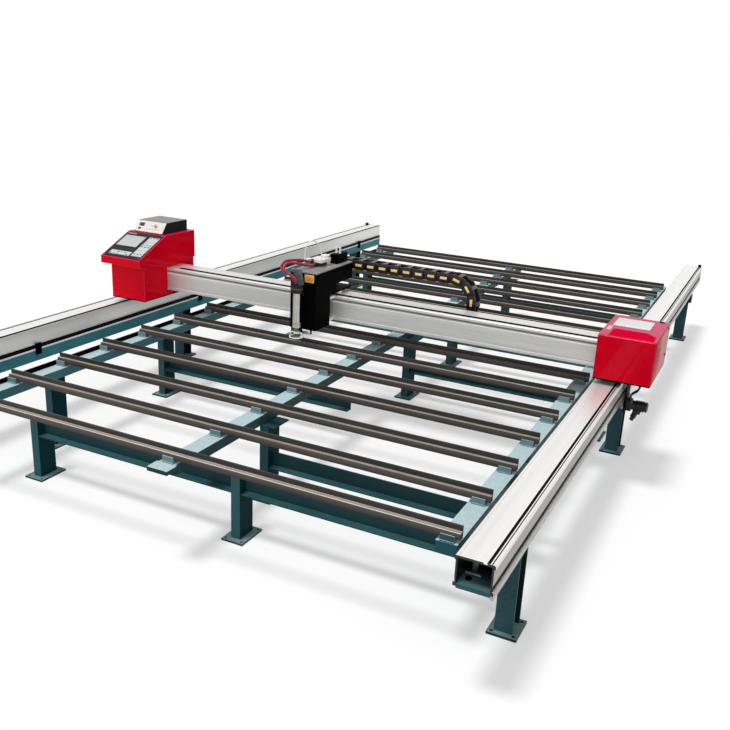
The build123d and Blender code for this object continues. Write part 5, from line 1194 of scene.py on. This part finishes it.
def make_rail_ends():
    """Bolt, strip and small upright plate on the base plate inside each rail end."""
    bm = bmesh.new()
    for middle in (-RAIL_MID, RAIL_MID):
        for end in (-1, 1):
            add_bolt(bm, (middle + BASE_BOLT[0], end * BASE_BOLT[1], BASE_FACE), (0, 0, 1), 11, 0)
            for material, ((left, right), span, tall) in enumerate((BASE_STRIP, BASE_TAB), 1):
                front, back = sorted(end * y for y in span)
                low = (middle + left, front, BASE_FACE)
                add_box(bm, low, (middle + right, back, BASE_FACE + tall), 1, material)
    piece("rail_end_fittings", bm, [BLACK, GREY_PLATE, STEEL], "frame")


def make_brackets():
    """Bolts of the channel brackets, a pale strip of painted highlight on the channel's top edge, and a black
    strip of painted shadow over it on the left rail.
    """
    bm = bmesh.new()
    end = RAIL_HALF - 1
    for y in BRACKET_PLACES:
        for z in BRACKET_BOLTS:
            add_bolt(bm, (BRACKET_FACE, y, z), (1, 0, 0), 9)
    for ((left, low), (right, high)), edge, material in ((LEFT_SHADOW_STRIP, 0.5, 1), (CHANNEL_HIGHLIGHT_SPAN, 0.4, 2)):
        add_box(bm, (left, -end, low), (right, end, high), edge, material)
    piece("channel_fittings", bm, [BLACK, SHADE_STRIP, CHANNEL_HIGHLIGHT], "frame")


# Studio

def light_path_share(tree):
    """1 on rays that should see a plain white studio: from the camera, in gloss and through glass."""
    rays = add_node(tree, "LightPath", {}).outputs
    share = rays["Is Camera Ray"]
    for kind in ("Is Glossy Ray", "Is Transmission Ray"):
        share = math_step(tree, "MAXIMUM", share, rays[kind])
    return share


def make_floor():
    bm = bmesh.new()
    bmesh.ops.create_grid(bm, x_segments=1, y_segments=1, size=FLOOR_SIZE / 2)
    mesh = bpy.data.meshes.new("floor")
    bm.to_mesh(mesh)
    bm.free()
    material = bpy.data.materials.new("floor")
    material.use_nodes = True
    tree = material.node_tree
    tree.nodes.remove(tree.nodes["Principled BSDF"])
    matte = add_node(tree, "BsdfDiffuse", {"Color": (FLOOR_TONE, FLOOR_TONE, FLOOR_TONE, 1)})
    strength = math_step(tree, "MULTIPLY", light_path_share(tree), FLOOR_GLOW)
    glow = add_node(tree, "Emission", {"Strength": strength})
    both = add_node(tree, "AddShader", {0: matte.outputs["BSDF"], 1: glow.outputs["Emission"]})
    tree.links.new(both.outputs["Shader"], tree.nodes["Material Output"].inputs["Surface"])
    mesh.materials.append(material)
    show(bpy.data.objects.new("floor", mesh))


def make_sky():
    world = bpy.data.worlds.new("studio")
    world.use_nodes = True
    bpy.context.scene.world = world
    tree = world.node_tree
    background = tree.nodes["Background"]
    background.inputs["Color"].default_value = (1, 1, 1, 1)
    level = stepped(tree, light_path_share(tree), SKY_LEVEL, 1, 0, 1)
    tree.links.new(level, background.inputs["Strength"])


def make_lamp(name, level, spread, direction):
    """Sun with a broad disc, from a direction."""
    data = bpy.data.lights.new(name, "SUN")
    data.energy = level
    data.angle = math.radians(spread)
    lamp = show(bpy.data.objects.new(name, data))
    lamp.rotation_euler = Vector(direction).to_track_quat("Z", "Y").to_euler()


make_camera()
make_hoses()
make_gas_wire()
make_motor_cables()
dress_nodes()
make_chain()
make_rail_strips()
make_beam_strips()
make_panel()
make_height_control()
make_drive_top()
make_side_plate()
make_motor()
make_carriage_fittings()
make_torch_fittings()
make_rail_ends()
make_brackets()
make_floor()
make_sky()
make_lamp("lamp", LAMP_LEVEL, LAMP_SPREAD, LAMP_FROM)
make_lamp("fill", FILL_LEVEL, FILL_SPREAD, FILL_FROM)

bpy.context.scene.view_settings.view_transform = "Standard"
